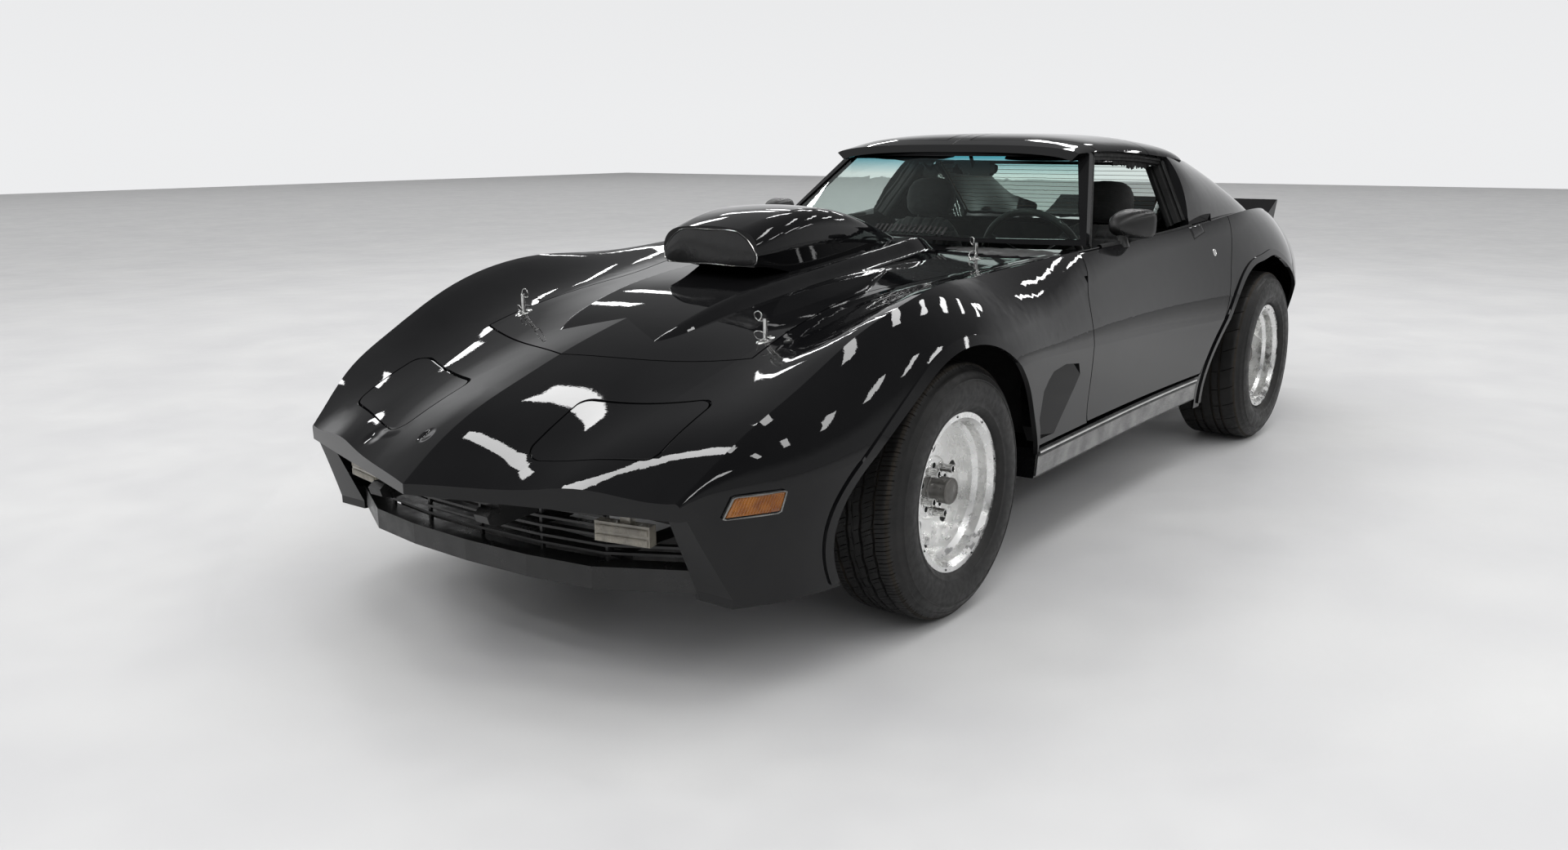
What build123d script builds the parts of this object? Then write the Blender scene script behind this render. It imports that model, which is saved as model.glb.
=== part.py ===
from build123d import *
import math
import os

# Two-seat fibreglass sports car with a fixed roof band, lift-off roof panels, a lift-off hood
# held by four pins, and hinged headlamp lids. +X is forward, +Y the car's left, +Z up, and the
# origin is on the floor under the middle of the car. All sizes are in millimetres.

# ---- overall sizes ----
FRONT_OVERHANG = 1060.0
WHEELBASE = 2489.0
REAR_OVERHANG = 1155.0
WIDTH = 1753.0
HEIGHT = 1221.0

# ---- body shell ----
SKIN = 8.0                 # fibreglass thickness
PANEL_GAP = 5.0            # seam between body panels
SEAT_GAP = 0.3             # clearance where one piece rests on another
BEAK_DEPTH = 60.0          # thickness of the soft nose behind its front edge
LIP = 24.0                 # width of the raised wheel arch lip
LIP_RISE = 6.0             # how far the arch lip stands proud
DOOR_INNER_Y = 692.0       # inner face of the doors
ROOF_THICKNESS = 26.0
GLASS = 5.0
PIN_RADIUS = 6.0           # hood pins
PIN_HOLE_RADIUS = 9.0

# ---- wheels ----
FRONT_TYRE_RADIUS = 332.0
FRONT_TYRE_WIDTH = 240.0
REAR_TYRE_RADIUS = 338.0
REAR_TYRE_WIDTH = 284.0
FRONT_TYRE_FACE = 835.0    # outer sidewall from the centre plane
REAR_TYRE_FACE = 860.0
BEAD_RADIUS = 190.5        # 15 inch rim
RIM_LIP_RADIUS = 205.0
SPINDLE_RADIUS = 20.0
RUNNING_GAP = 0.5          # spindle in its hub
DISC_RADIUS = 148.0
DISC_THICKNESS = 24.0

# ---- chassis and cabin ----
RAIL_WIDTH = 60.0
RAIL_HEIGHT = 90.0
SHEET = 10.0               # floor and bulkhead thickness
SEAT_WIDTH = 500.0

# Reference car that the lines below are drawn on; X, Y and Z carry them to the sizes above.
REF_NOSE, REF_FRONT_AXLE, REF_REAR_AXLE = 2352.0, 1292.0, -1197.0
LENGTH = FRONT_OVERHANG + WHEELBASE + REAR_OVERHANG
FRONT_AXLE = LENGTH / 2 - FRONT_OVERHANG
REAR_AXLE = FRONT_AXLE - WHEELBASE
OVER = HEIGHT + 180        # clear above the whole car


def X(x):
    """Place along the car: the overhangs and the wheelbase each stretch on their own."""
    if x >= REF_FRONT_AXLE:
        return FRONT_AXLE + (x - REF_FRONT_AXLE) * FRONT_OVERHANG / (REF_NOSE - REF_FRONT_AXLE)
    if x >= REF_REAR_AXLE:
        return REAR_AXLE + (x - REF_REAR_AXLE) * WHEELBASE / (REF_FRONT_AXLE - REF_REAR_AXLE)
    return REAR_AXLE + (x - REF_REAR_AXLE) * REAR_OVERHANG / (REF_NOSE + REF_REAR_AXLE)


def Y(y):
    return y * WIDTH / 1753.0


def Z(z):
    return z * HEIGHT / 1221.0


# ---- body lines, front to rear: x, centre height and its fall, valley y z, fender ridge y z,
# ---- side crease y z, lower edge y z ----
STATIONS = [
    [2352, 462, -0.16, 330, 400, 560, 360, 600, 340, 590, 240],
    [2250, 535, -0.15, 345, 480, 600, 419, 622, 400, 612, 236],
    [2150, 588, -0.14, 360, 530, 633, 482, 641, 467, 630, 232],
    [2000, 642, -0.12, 385, 588, 684, 596, 738, 487, 722, 228],
    [1850, 690, -0.10, 410, 640, 712, 672, 806, 504, 775, 225],
    [1650, 742, -0.08, 440, 708, 730, 764, 850, 540, 800, 222],
    [1450, 782, -0.06, 450, 755, 742, 823, 868, 590, 805, 222],
    [1250, 806, -0.05, 455, 785, 727, 849, 872, 622, 800, 222],
    [1050, 822, -0.04, 470, 805, 700, 845, 866, 630, 795, 222],
    [850, 834, -0.03, 500, 820, 690, 848, 850, 622, 790, 222],
    [600, 845, -0.03, 540, 835, 705, 860, 834, 607, 785, 222],
    [300, 855, -0.02, 560, 845, 712, 868, 820, 590, 780, 222],
    [-50, 860, -0.02, 570, 850, 716, 872, 812, 572, 776, 222],
    [-400, 865, -0.02, 580, 858, 728, 880, 818, 555, 778, 222],
    [-700, 870, -0.02, 580, 866, 745, 898, 838, 545, 784, 222],
    [-950, 870, -0.02, 570, 868, 755, 915, 862, 550, 792, 226],
    [-1200, 868, -0.02, 560, 866, 750, 922, 876, 575, 798, 232],
    [-1450, 862, -0.02, 545, 858, 718, 911, 868, 600, 790, 240],
    [-1700, 850, -0.02, 525, 846, 672, 880, 808, 600, 744, 252],
    [-1950, 832, -0.02, 500, 826, 624, 842, 744, 585, 690, 268],
    [-2150, 810, -0.02, 480, 802, 588, 803, 692, 565, 646, 284],
    [-2352, 780, -0.02, 455, 770, 552, 758, 642, 545, 604, 300],
]

# Plan of the nose and of the openings in its top, left side.
NOSE_CORNER = (2155, 637)
HOOD_SIDE = [(1690, 470), (1600, 464), (1500, 455), (1400, 446), (1300, 437), (1200, 432),
             (1100, 442), (1000, 469), (800, 520), (514, 570), (284, 600)]
HOOD_FRONT_X, HOOD_REAR_X = 1865, 400
LID = [(2204, 216), (1975, 194), (1865, 523), (2099, 523)]
LID_CORNER = 40.0
LID_HINGE = (1838, 619)    # x, z of the headlamp pivots
LID_REAR_GAP = 10.0        # wider seam that the rear edge of a lid swings into
LAMP_RADIUS = 73.0
LAMP_LIFT = 40.0           # degrees that the lids rise

# Door outline in side view: front seam down, bottom, rear seam up.
DOOR_FRONT = [(350, 950), (375, 905), (416, 816), (484, 752), (513, 683), (512, 598), (492, 492),
              (471, 391), (455, 356)]
DOOR_REAR = [(-572, 350), (-584, 374), (-628, 468), (-704, 582), (-780, 750), (-855, 856),
             (-885, 905),
             (-908, 950)]
DOOR_HINGE = (585, 800)    # x, y of the hinge pins
DOOR_REBATE = 14.0         # how far the door's inner part stands back from its skin
HINGE_HEIGHTS = (522, 666)
HINGE_PIN = 5.0
HINGE_REACH = 96.0         # how far the door arms go inboard of the pins

# Wheel openings as (angle, gap beyond the tyre) about each wheel centre.
FRONT_ARCH = [(-20, 150), (16, 172), (34, 104), (48, 71), (65, 56), (89, 48), (108, 42),
              (123, 34), (144, 46), (163, 82), (177, 132), (196, 150)]
REAR_ARCH = [(-22, 250), (6, 224), (20, 188), (30, 163), (46, 134), (63, 98), (74, 74),
             (90, 68), (106, 52), (125, 42), (150, 46), (175, 66), (200, 90)]


# ---- basic operations ----

def face(*segments):
    """Closed face from runs of points; two points make a line and more make a smooth curve."""
    edges = []
    for run in segments:
        run = [Vector(*p) for p in run]
        edges.append(Edge.make_line(*run) if len(run) == 2 else Edge.make_spline(run))
    return Face(Wire(edges))


def polygon(points):
    points = [Vector(*p) for p in points]
    closed = points + points[:1]
    return Face(Wire([Edge.make_line(a, b) for a, b in zip(closed, closed[1:])]))


def push(flat, vector):
    """Solid swept by a flat face along a straight vector."""
    vector = Vector(*vector)
    return extrude(flat, amount=vector.length, dir=vector.normalized())


def block(x0, x1, y0, y1, z0, z1):
    return Pos((x0 + x1) / 2, (y0 + y1) / 2, (z0 + z1) / 2) * Box(
        abs(x1 - x0), abs(y1 - y0), abs(z1 - z0))


def beam(start, end, width, height):
    """Straight box-section member between two points."""
    start, end = Vector(*start), Vector(*end)
    run = end - start
    side = Vector(0, 0, 1).cross(run)
    side = side.normalized() if side.length > 1 else Vector(0, 1, 0)
    plane = Plane(origin=start, x_dir=side, z_dir=run.normalized())
    return extrude(plane * Rectangle(width, height), amount=run.length)


def rod(start, end, radius):
    start, end = Vector(*start), Vector(*end)
    plane = Plane(origin=start, z_dir=(end - start).normalized())
    return extrude(plane * Circle(radius), amount=(end - start).length)


def flip(shape):
    """The same piece on the car's right side."""
    return mirror(shape, about=Plane.XZ)


def both(shape):
    return [shape, flip(shape)]


def fuse(pieces):
    total = pieces[0]
    for piece in pieces[1:]:
        total = total + piece
    return total


def save(name, *shapes):
    """One STEP file holding every solid of a node."""
    solids = [solid for shape in shapes for solid in shape.solids()]
    export_step(Compound(children=solids), f"parts/{name}.step")


# ---- body skins ----

def half_section(row, inset):
    """Thirteen control points of four joined curves, from the centre out and down."""
    x, zc, fall, yv, zv, yp, zp, yw, zw, yb, zb = row
    points = [
        (0, zc), (0.4 * yv, zc + fall * 0.4 * yv), (0.65 * yv, zv), (yv, zv),
        (yv + (yp - yv) * 0.45, zv), (yp - (yp - yv) * 0.3, zp - (zp - zv) * 0.18), (yp, zp),
        (yp + (yw - yp) * 0.35, zp - (zp - zw) * 0.12), (yw + 2, zw + (zp - zw) * 0.42),
        (yw, zw),
        (yw - (yw - yb) * 0.25, zw - (zw - zb) * 0.3), (yb + (yw - yb) * 0.1,
                                                       zb + (zw - zb) * 0.35), (yb, zb),
    ]
    points = [(Y(y), Z(z)) for y, z in points]
    moved = []
    for i, (y, z) in enumerate(points):
        ya, za = points[max(i - 1, 0)]
        yc, zc = points[min(i + 1, len(points) - 1)]
        dy, dz = (yc - ya, zc - za) if i else (1, 0)
        reach = math.hypot(dy, dz)
        moved.append((y + inset * dz / reach, z - inset * dy / reach))
    return moved


def skin(inset, open_below=0.0):
    """Solid inside the body surface, moved inwards by inset and carried down by open_below."""
    wires = []
    for row in STATIONS:
        x = X(row[0])
        points = half_section(row, inset)
        left = [Vector(x, y, z) for y, z in points]
        right = [Vector(x, -y, z) for y, z in points]
        edges = [Edge.make_bezier(*left[i:i + 4]) for i in (0, 3, 6, 9)]
        low_left, low_right = left[-1], right[-1]
        if open_below:
            down = Vector(0, 0, -open_below)
            edges.append(Edge.make_line(low_left, low_left + down))
            edges.append(Edge.make_line(low_left + down, low_right + down))
            edges.append(Edge.make_line(low_right + down, low_right))
        else:
            edges.append(Edge.make_line(low_left, low_right))
        edges += [Edge.make_bezier(*reversed(right[i:i + 4])) for i in (9, 6, 3, 0)]
        wires.append(Wire(edges))
    return Solid.make_loft(wires)


def plan_prism(flat_points, z0=0.0, z1=OVER):
    return push(polygon([(x, y, z0) for x, y in flat_points]), (0, 0, z1 - z0))


def nose_wedge(setback):
    """Everything ahead of the V of the nose, moved back by setback."""
    tip, corner_x = X(REF_NOSE) - setback, X(NOSE_CORNER[0]) - setback
    corner_y = Y(NOSE_CORNER[1])
    slope = (tip - corner_x) / corner_y
    far = corner_y * 2
    return plan_prism([(tip, 0), (tip - slope * far, far), (tip + 600, far),
                       (tip + 600, -far), (tip - slope * far, -far)], -10)


def hood_outline(grow, z0, z1):
    """Prism over the hood, its edge moved out by grow."""
    side = [(X(x), Y(y) + grow) for x, y in HOOD_SIDE]
    side[0] = (side[0][0] + grow, side[0][1])
    side[-1] = (side[-1][0] - grow, side[-1][1])
    left = [(x, y, z0) for x, y in side]
    right = [(x, -y, z0) for x, y in side]
    front, rear = (X(HOOD_FRONT_X) + grow, 0, z0), (X(HOOD_REAR_X) - grow, 0, z0)
    flat = face([front, left[0]], left, [left[-1], rear, right[-1]], right[::-1],
                [right[0], front])
    return push(flat, (0, 0, z1 - z0))


def lid_outline(shrink, z0=0.0, z1=1000.0, rear_shrink=0.0):
    """Prism over the left headlamp lid."""
    points = [(X(x) + (rear_shrink if i in (1, 2) else 0), Y(y))
              for i, (x, y) in enumerate(LID)]
    centre_x = sum(x for x, _ in points) / 4
    centre_y = sum(y for _, y in points) / 4
    flat = polygon([(x - math.copysign(shrink, x - centre_x),
                     y - math.copysign(shrink, y - centre_y), z0) for x, y in points])
    solid = push(flat, (0, 0, z1 - z0))
    return fillet(solid.edges().filter_by(Axis.Z), LID_CORNER - shrink)


def door_outline(shrink, y0, y1):
    """Prism through the left door in side view."""
    front = [(X(x) - shrink, y0, Z(z)) for x, z in DOOR_FRONT]
    rear = [(X(x) + shrink, y0, Z(z)) for x, z in DOOR_REAR]
    front[-1] = (front[-1][0], y0, front[-1][2] + shrink)
    rear[0] = (rear[0][0], y0, rear[0][2] + shrink)
    flat = face(front, [front[-1], rear[0]], rear, [rear[-1], front[0]])
    return push(flat, (0, y1 - y0, 0))


def arch_outline(centre_x, tyre_radius, gaps, grow, y0, y1):
    """Prism through a wheel opening, its edge moved out by grow."""
    points = []
    for angle, gap in gaps:
        reach = tyre_radius + gap + grow
        turn = math.radians(angle)
        points.append((centre_x + reach * math.cos(turn), y0,
                       tyre_radius + reach * math.sin(turn)))
    low_front = (points[0][0], y0, 60)
    low_rear = (points[-1][0], y0, 60)
    flat = face(points, [points[-1], low_rear], [low_rear, low_front],
                [low_front, points[0]])
    return push(flat, (0, y1 - y0, 0))


def front_arch(grow, y0, y1):
    return arch_outline(FRONT_AXLE, FRONT_TYRE_RADIUS, FRONT_ARCH, grow, y0, y1)


def rear_arch(grow, y0, y1):
    return arch_outline(REAR_AXLE, REAR_TYRE_RADIUS, REAR_ARCH, grow, y0, y1)


def side_slab(x0, x1, z0=-10, z1=OVER):
    return block(x0, x1, -1200, 1200, z0, z1)


HULL = skin(0)
CAVITY = skin(SKIN, 40)
UNDER_HOOD = skin(SKIN - SEAT_GAP, 40)
GUTTER = skin(SKIN + 6, 60)
FAT_HULL = skin(-LIP_RISE)

CABIN = [(262, 0), (228, 380), (128, 625), (90, DOOR_INNER_Y - PANEL_GAP),
         (-850, DOOR_INNER_Y - PANEL_GAP), (-1010, 560)]
MOUTH_X, MOUTH_Z, MOUTH_Y = X(2150), Z(438), Y(590)
CHEEK_EDGE = (2139, 2050, 250)      # front edge of the mouth's ends: top x, bottom x and z
LIP_LINE = [(2192, 0), (2184, 200), (2157, 380), (2044, 589)]
LIP_DEPTH = 62.0
VENT_FLOOR = [(600, 822), (857, 776)]      # x, y of the fender vents' sloping floor
VENT = [(617, 567), (722, 581), (811, 573), (837, 552), (857, 523), (840, 419), (819, 376),
        (709, 374), (604, 403), (592, 459), (573, 505)]


def fender_vent(grow):
    """Prism through the left fender vent, from grow below its sloping floor outwards."""
    (rear_x, rear_y), (front_x, front_y) = VENT_FLOOR
    slope = (front_y - rear_y) / (front_x - rear_x)
    centre = Vector(720, 0, 475)
    points = []
    for x, z in VENT:
        offset = Vector(x, 0, z) - centre
        edge = centre + offset.normalized() * (offset.length + grow)
        floor_y = rear_y + slope * (edge.X - rear_x)
        points.append((X(edge.X), Y(floor_y) - grow, Z(edge.Z)))
    return push(polygon(points), (0, 120, 0))


def cabin_hole():
    points = [(X(x), Y(y)) for x, y in CABIN]
    return plan_prism(points + [(x, -y) for x, y in reversed(points[1:])], Z(400))


def chin_cut():
    """Everything below the beak and ahead of the slanted ends of the mouth."""
    ahead = X(REF_NOSE) + 100
    corner_x, low_x, low_z = CHEEK_EDGE
    return push(polygon([(X(corner_x), -1000, MOUTH_Z), (ahead, -1000, MOUTH_Z),
                         (ahead, -1000, -10), (X(low_x), -1000, -10),
                         (X(low_x), -1000, Z(low_z))]), (0, 2000, 0))


def arch_lip(outline_function, x0, x1):
    band = outline_function(LIP, Y(700), Y(1100)) - outline_function(0, Y(690), Y(1110))
    lip = (FAT_HULL - CAVITY) & band & block(x0, x1, Y(700), Y(1100), Z(236), Z(1000))
    return lip


def make_shells():
    """Front clip and rear body, cut from the skin by the openings of every panel."""
    door_y = Y(DOOR_INNER_Y) - PANEL_GAP
    beak = nose_wedge(BEAK_DEPTH) & side_slab(X(1900), X(2600), MOUTH_Z)
    under_beak = block(X(2080), X(2400), -MOUTH_Y - SKIN, MOUTH_Y + SKIN, MOUTH_Z,
                       MOUTH_Z + SKIN)
    hollow = CAVITY - beak - nose_wedge(SKIN) - under_beak
    mouth = block(MOUTH_X - 100, X(2500), -MOUTH_Y, MOUTH_Y, -100, MOUTH_Z)
    front = (HULL & side_slab(X(100), X(2400))) - hollow - nose_wedge(0) - mouth
    cheek = HULL & block(X(1990), X(2200), MOUTH_Y, 900, 0, MOUTH_Z)
    front = (front + cheek + flip(cheek)) - chin_cut()
    front = front - hood_outline(0, Z(500), OVER) - cabin_hole()
    for prism in (door_outline(0, door_y, 1200), front_arch(0, Y(500), 1200),
                  lid_outline(0, Z(420))):
        front = front - prism - flip(prism)
    front = front - side_slab(X(-100), X(455), -10, Z(800))
    front = front - block(X(455), X(830), -1200, 1200, -10, Z(356))
    lip = arch_lip(front_arch, X(819), X(2100))
    front = front + lip + flip(lip)
    for y in (Y(LAMP_ARMS[0]) - 12, Y(LAMP_ARMS[1]) + 12):
        bracket = lamp_bracket(y)
        front = front + bracket + flip(bracket)
    vent = fender_vent(0)
    pocket = (fender_vent(SKIN) - vent) & HULL
    front = front - vent - flip(vent) + pocket + flip(pocket)
    ring = hood_outline(8, Z(560), OVER) - hood_outline(-22, Z(550), OVER + 10)
    front = front + ((CAVITY - GUTTER) & ring)
    for i in range(COWL_SLOTS):
        y = Y(COWL_SLOT_PITCH) * (i - (COWL_SLOTS - 1) / 2)
        front = front - block(X(316), X(350), y - 4, y + 4, Z(820), OVER)
    rear = (HULL - CAVITY) & side_slab(X(-2235), X(-560))
    rear = rear - cabin_hole()
    for prism in (door_outline(0, door_y, 1200), rear_arch(0, Y(500), 1200)):
        rear = rear - prism - flip(prism)
    lip = arch_lip(rear_arch, X(-1700), X(-560))
    lip = lip - door_outline(-1, Y(500), 1200)
    rear = rear + lip + flip(lip)
    return front, rear


COWL_SLOTS = 16            # air slots in the cowl ahead of the windshield
COWL_SLOT_PITCH = 24.0


def make_hood():
    panel = (HULL - UNDER_HOOD) & hood_outline(-PANEL_GAP, Z(560), OVER)
    sections = []
    for x, ridge, wide in DOME:
        wide, top, low = Y(wide), Z(ridge), Z(ridge - 70)
        foot, base = wide + Y(DOME_FLANK), Z(ridge - 36)
        left = [Vector(X(x), foot, base), Vector(X(x), foot - Y(26), base),
                Vector(X(x), wide + Y(20), top), Vector(X(x), wide, top)]
        right = [Vector(p.X, -p.Y, p.Z) for p in left]
        crown = Vector(X(x), 0, top + DOME_CROWN)
        sections.append(Wire([
            Edge.make_line((X(x), foot, low), left[0]), Edge.make_bezier(*left),
            Edge.make_bezier(left[-1], crown, right[-1]), Edge.make_bezier(*right[::-1]),
            Edge.make_line(right[0], (X(x), -foot, low)),
            Edge.make_line((X(x), -foot, low), (X(x), foot, low))]))
    dome = Solid.make_loft(sections)
    hood = panel + (dome - UNDER_HOOD)
    for x, y in HOOD_PINS:
        hood = hood - Pos(X(x), Y(y), Z(750)) * Cylinder(PIN_HOLE_RADIUS, 500)
    return hood


# Raised centre of the hood: x, ridge height, half width between the ridges
DOME = [(1800, 660, 130), (1720, 702, 160), (1640, 740, 178), (1540, 772, 187),
        (1400, 803, 195), (1200, 829, 198), (1000, 847, 198), (780, 868, 198),
        (600, 885, 198), (480, 893, 196), (432, 884, 190), (405, 852, 180)]
DOME_FLANK = 62            # run of the dome's curved sides beyond its ridges
DOME_CROWN = 3
HOOD_PINS = [(1590, 432), (1590, -432), (514, 430), (514, -430)]
PIN_BASES = (620, 775)     # height of the bars that carry the front and the rear pins
PIN_TOPS = (778, 888)
# Scoop sections: x, top height, top half width, side half width, side height, bottom height
SCOOP = [(1280, 962, 103, 172, 892, 860), (1190, 985, 118, 180, 898, 850),
         (969, 1007, 125, 182, 905, 800), (720, 965, 118, 172, 890, 800),
         (473, 896, 90, 140, 862, 800)]


def make_scoop(hood):
    wires = []
    for x, top, half_top, half_side, side, bottom in SCOOP:
        x = X(x)
        crown = Vector(x, 0, Z(top + 6))
        shoulder = [Vector(x, Y(half_top), Z(top)), Vector(x, Y(half_side), Z(side))]
        base = Vector(x, Y(half_side * 0.92), Z(bottom))
        opposite = [Vector(p.X, -p.Y, p.Z) for p in (shoulder[0], shoulder[1], base)]
        wires.append(Wire([
            Edge.make_three_point_arc(opposite[0], crown, shoulder[0]),
            Edge.make_bezier(shoulder[0], Vector(x, Y(half_side), Z(top) - 8), shoulder[1]),
            Edge.make_line(shoulder[1], base), Edge.make_line(base, opposite[2]),
            Edge.make_line(opposite[2], opposite[1]),
            Edge.make_bezier(opposite[1], Vector(x, -Y(half_side), Z(top) - 8),
                             opposite[0])]))
    scoop = Solid.make_loft(wires)
    filled = HULL & hood_outline(0, Z(500), OVER)
    return scoop - filled - hood


def make_headlamp():
    """Left lid with its bucket, two lamps and two gooseneck arms on a pivot rod, closed."""
    rear = LID_REAR_GAP - PANEL_GAP
    lid = (HULL - CAVITY) & lid_outline(PANEL_GAP, Z(420), 1000, rear)
    hinge_x, hinge_z = X(LID_HINGE[0]), Z(LID_HINGE[1])
    pieces = []
    for y, face_x in ((448, 239), (292, 284)):
        start, end = hinge_x + face_x - 110, hinge_x + face_x
        lamp = rod((start, Y(y), hinge_z), (end, Y(y), hinge_z), LAMP_RADIUS + 4)
        lamp = lamp - rod((end - 12, Y(y), hinge_z), (end + 1, Y(y), hinge_z), LAMP_RADIUS - 4)
        pieces.append(lamp)
        pieces.append(block(end - 100, end - 30, Y(y) - 30, Y(y) + 30, hinge_z, hinge_z + 130))
    pieces.append(block(hinge_x + 144, hinge_x + 224, Y(292), Y(448), hinge_z - 30,
                        hinge_z + 60))
    bucket = fuse(pieces)
    bucket = bucket.rotate(Axis((hinge_x, 0, hinge_z), (0, 1, 0)), LAMP_LIFT)
    bucket = bucket & CAVITY & lid_outline(PANEL_GAP + 6, Z(300), 1000, rear)
    arms = [lamp_arm(y) for y in LAMP_ARMS]
    pivot = rod((hinge_x, Y(LAMP_ARMS[0]) - 16, hinge_z),
                (hinge_x, Y(LAMP_ARMS[1]) + 16, hinge_z), LAMP_PIN_RADIUS)
    return fuse([lid, bucket, pivot] + arms)


def lamp_arm(y):
    """Gooseneck from the pivot rod to a lid; it dips so that the skin stays clear of it."""
    hinge_x, hinge_z = X(LID_HINGE[0]), Z(LID_HINGE[1])
    (inner_x, inner_y), (outer_x, outer_y) = LID[1:3]
    edge = X(inner_x + (outer_x - inner_x) * (y - inner_y) / (outer_y - inner_y)) - hinge_x
    lift = math.radians(LAMP_LIFT)
    dip_x = (edge + 5) * math.cos(lift) - LAMP_ARM_DROP * math.sin(lift)
    dip_z = -(edge + 5) * math.sin(lift) - LAMP_ARM_DROP * math.cos(lift)
    outline = [(-6, -5), (dip_x + 12, dip_z - 14), (edge + 32, -14), (edge + 32, 60),
               (edge + 18, 60), (edge + 18, -10), (dip_x, dip_z), (5, 6), (-4, 6)]
    flat = polygon([(hinge_x + x, Y(y) - 5, hinge_z + z) for x, z in outline])
    return push(flat, (0, 10, 0)) & CAVITY


LAMP_ARMS = (300, 462)     # y of the arms of a headlamp
LAMP_PIN_RADIUS = 5.0
LAMP_ARM_DROP = 15.0       # how far a raised arm passes below its pivot


def lamp_bracket(y):
    """Hanger under the skin that carries one end of a headlamp's pivot rod."""
    x, z = X(LID_HINGE[0]), Z(LID_HINGE[1])
    hanger = block(x - 9, x + 9, y - 3, y + 3, z - 9, z + 60) & CAVITY
    return hanger - rod((x, y - 5, z), (x, y + 5, z), LAMP_PIN_RADIUS + RUNNING_GAP)


def make_door():
    """Left door: outer skin and inner panel as one hollow-looking slab with its hinge arms."""
    inner = Y(DOOR_INNER_Y)
    skin_part = (HULL - CAVITY) & door_outline(PANEL_GAP, inner, 1200)
    door = skin_part + (HULL & door_outline(PANEL_GAP + DOOR_REBATE, inner, 1200))
    door = door - block(X(-560), X(400), inner + 18, inner + 26, Z(800), Z(960))
    hinge_x, hinge_y = X(DOOR_HINGE[0]), Y(DOOR_HINGE[1])
    for z in HINGE_HEIGHTS:
        low, high = Z(z) - 14, Z(z) + 14
        arm = block(hinge_x - 9, hinge_x + 9, hinge_y - HINGE_REACH - 8, hinge_y, low, high)
        arm = arm + block(X(470), hinge_x + 9, hinge_y - HINGE_REACH - 8,
                          hinge_y - HINGE_REACH + 8, low, high)
        arm = arm + Pos(hinge_x, hinge_y, Z(z)) * Cylinder(HINGE_PIN + 5, 28)
        door = door + (arm - Pos(hinge_x, hinge_y, Z(z)) * Cylinder(HINGE_PIN + RUNNING_GAP, 40))
    return door


# Left mirror sections: x, centre y z, half width, half height
MIRROR = [(78, 702, 922, 14, 9), (68, 704, 923, 32, 22), (40, 712, 925, 52, 36),
          (-6, 724, 926, 64, 44), (-40, 730, 924, 68, 48)]


def make_door_mirror():
    """Left mirror: rounded shell on a short foot on the door's shoulder, glass facing back."""
    shell = Solid.make_loft([
        Wire(Edge.make_ellipse(Y(half), height, plane=Plane(
            origin=(X(x), Y(y), Z(z)), x_dir=(0, 1, 0), z_dir=(-1, 0, 0))))
        for x, y, z, half, height in MIRROR])
    x, y, z = MIRROR[-1][:3]
    recess = Wire(Edge.make_ellipse(Y(MIRROR[-1][3]) - 5, MIRROR[-1][4] - 5, plane=Plane(
        origin=(X(x), Y(y), Z(z)), x_dir=(0, 1, 0), z_dir=(1, 0, 0))))
    shell = shell - extrude(Face(recess), amount=5)
    foot = beam((X(10), Y(742), Z(820)), (X(6), Y(738), Z(900)), 30, 62)
    return (shell + foot) - HULL


# ---- greenhouse ----
# Roof sections: x, centre height, half width, edge height
ROOF = [(-84, 1180, 492, 1150), (-160, 1201, 498, 1154), (-240, 1214, 504, 1156),
        (-340, 1219, 512, 1155), (-450, 1220, 523, 1151), (-600, 1218, 541, 1141),
        (-740, 1208, 556, 1130), (-880, 1190, 564, 1114)]
HEADER = [(-135, 0), (-150, 250), (-215, 500)]
SCREEN_BASE = [(160, 638, 864), (262, 380, 868), (300, 0, 872)]
SCREEN_TOP = [(-172, 492, 1150), (-118, 280, 1160), (-100, 0, 1164)]


def roof_plate(drop=0.0, thickness=ROOF_THICKNESS):
    wires = []
    for x, top, half, edge in ROOF:
        x, top, half, edge = X(x), Z(top) - drop, Y(half), Z(edge) - drop
        crown = [Vector(x, -half, edge), Vector(x, -half * 0.92, top - 4),
                 Vector(x, -half * 0.45, top + 1), Vector(x, 0, top)]
        over = crown + [Vector(x, -p.Y, p.Z) for p in reversed(crown[:-1])]
        under = [Vector(p.X, p.Y * 0.94, p.Z - thickness) for p in over]
        wires.append(Wire([
            Edge.make_bezier(*over[:4]), Edge.make_bezier(*over[3:]),
            Edge.make_line(over[-1], under[-1]),
            Edge.make_bezier(*reversed(under[3:])), Edge.make_bezier(*reversed(under[:4])),
            Edge.make_line(under[0], over[0])]))
    return Solid.make_loft(wires)


def screen_curve(points, inboard=0.0):
    left = [Vector(X(x) - inboard, Y(y), Z(z)) for x, y, z in points]
    right = [Vector(p.X, -p.Y, p.Z) for p in left[:-1]]
    return Edge.make_spline(left + right[::-1])


def screen_slab(thickness, push_in=0.0):
    """Curved slab between the base and top curves of the windshield."""
    sheet = Face.make_surface_from_curves(screen_curve(SCREEN_BASE, push_in),
                                          screen_curve(SCREEN_TOP, push_in))
    return push(sheet, (-thickness, 0, 0))


def make_windshield():
    """Glass and the surround that holds it."""
    border = polygon([(X(400), Y(612), Z(880)), (X(400), Y(-612), Z(880)),
                      (X(400), Y(-462), Z(1140)), (X(400), Y(462), Z(1140))])
    window = push(border, (-1200, 0, 0))
    plate = roof_plate()
    glass = (screen_slab(GLASS, 8) & window) - plate
    frame = screen_slab(30) - window - plate - HULL
    header = plate - behind_header(0)
    return glass, frame, header


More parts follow.
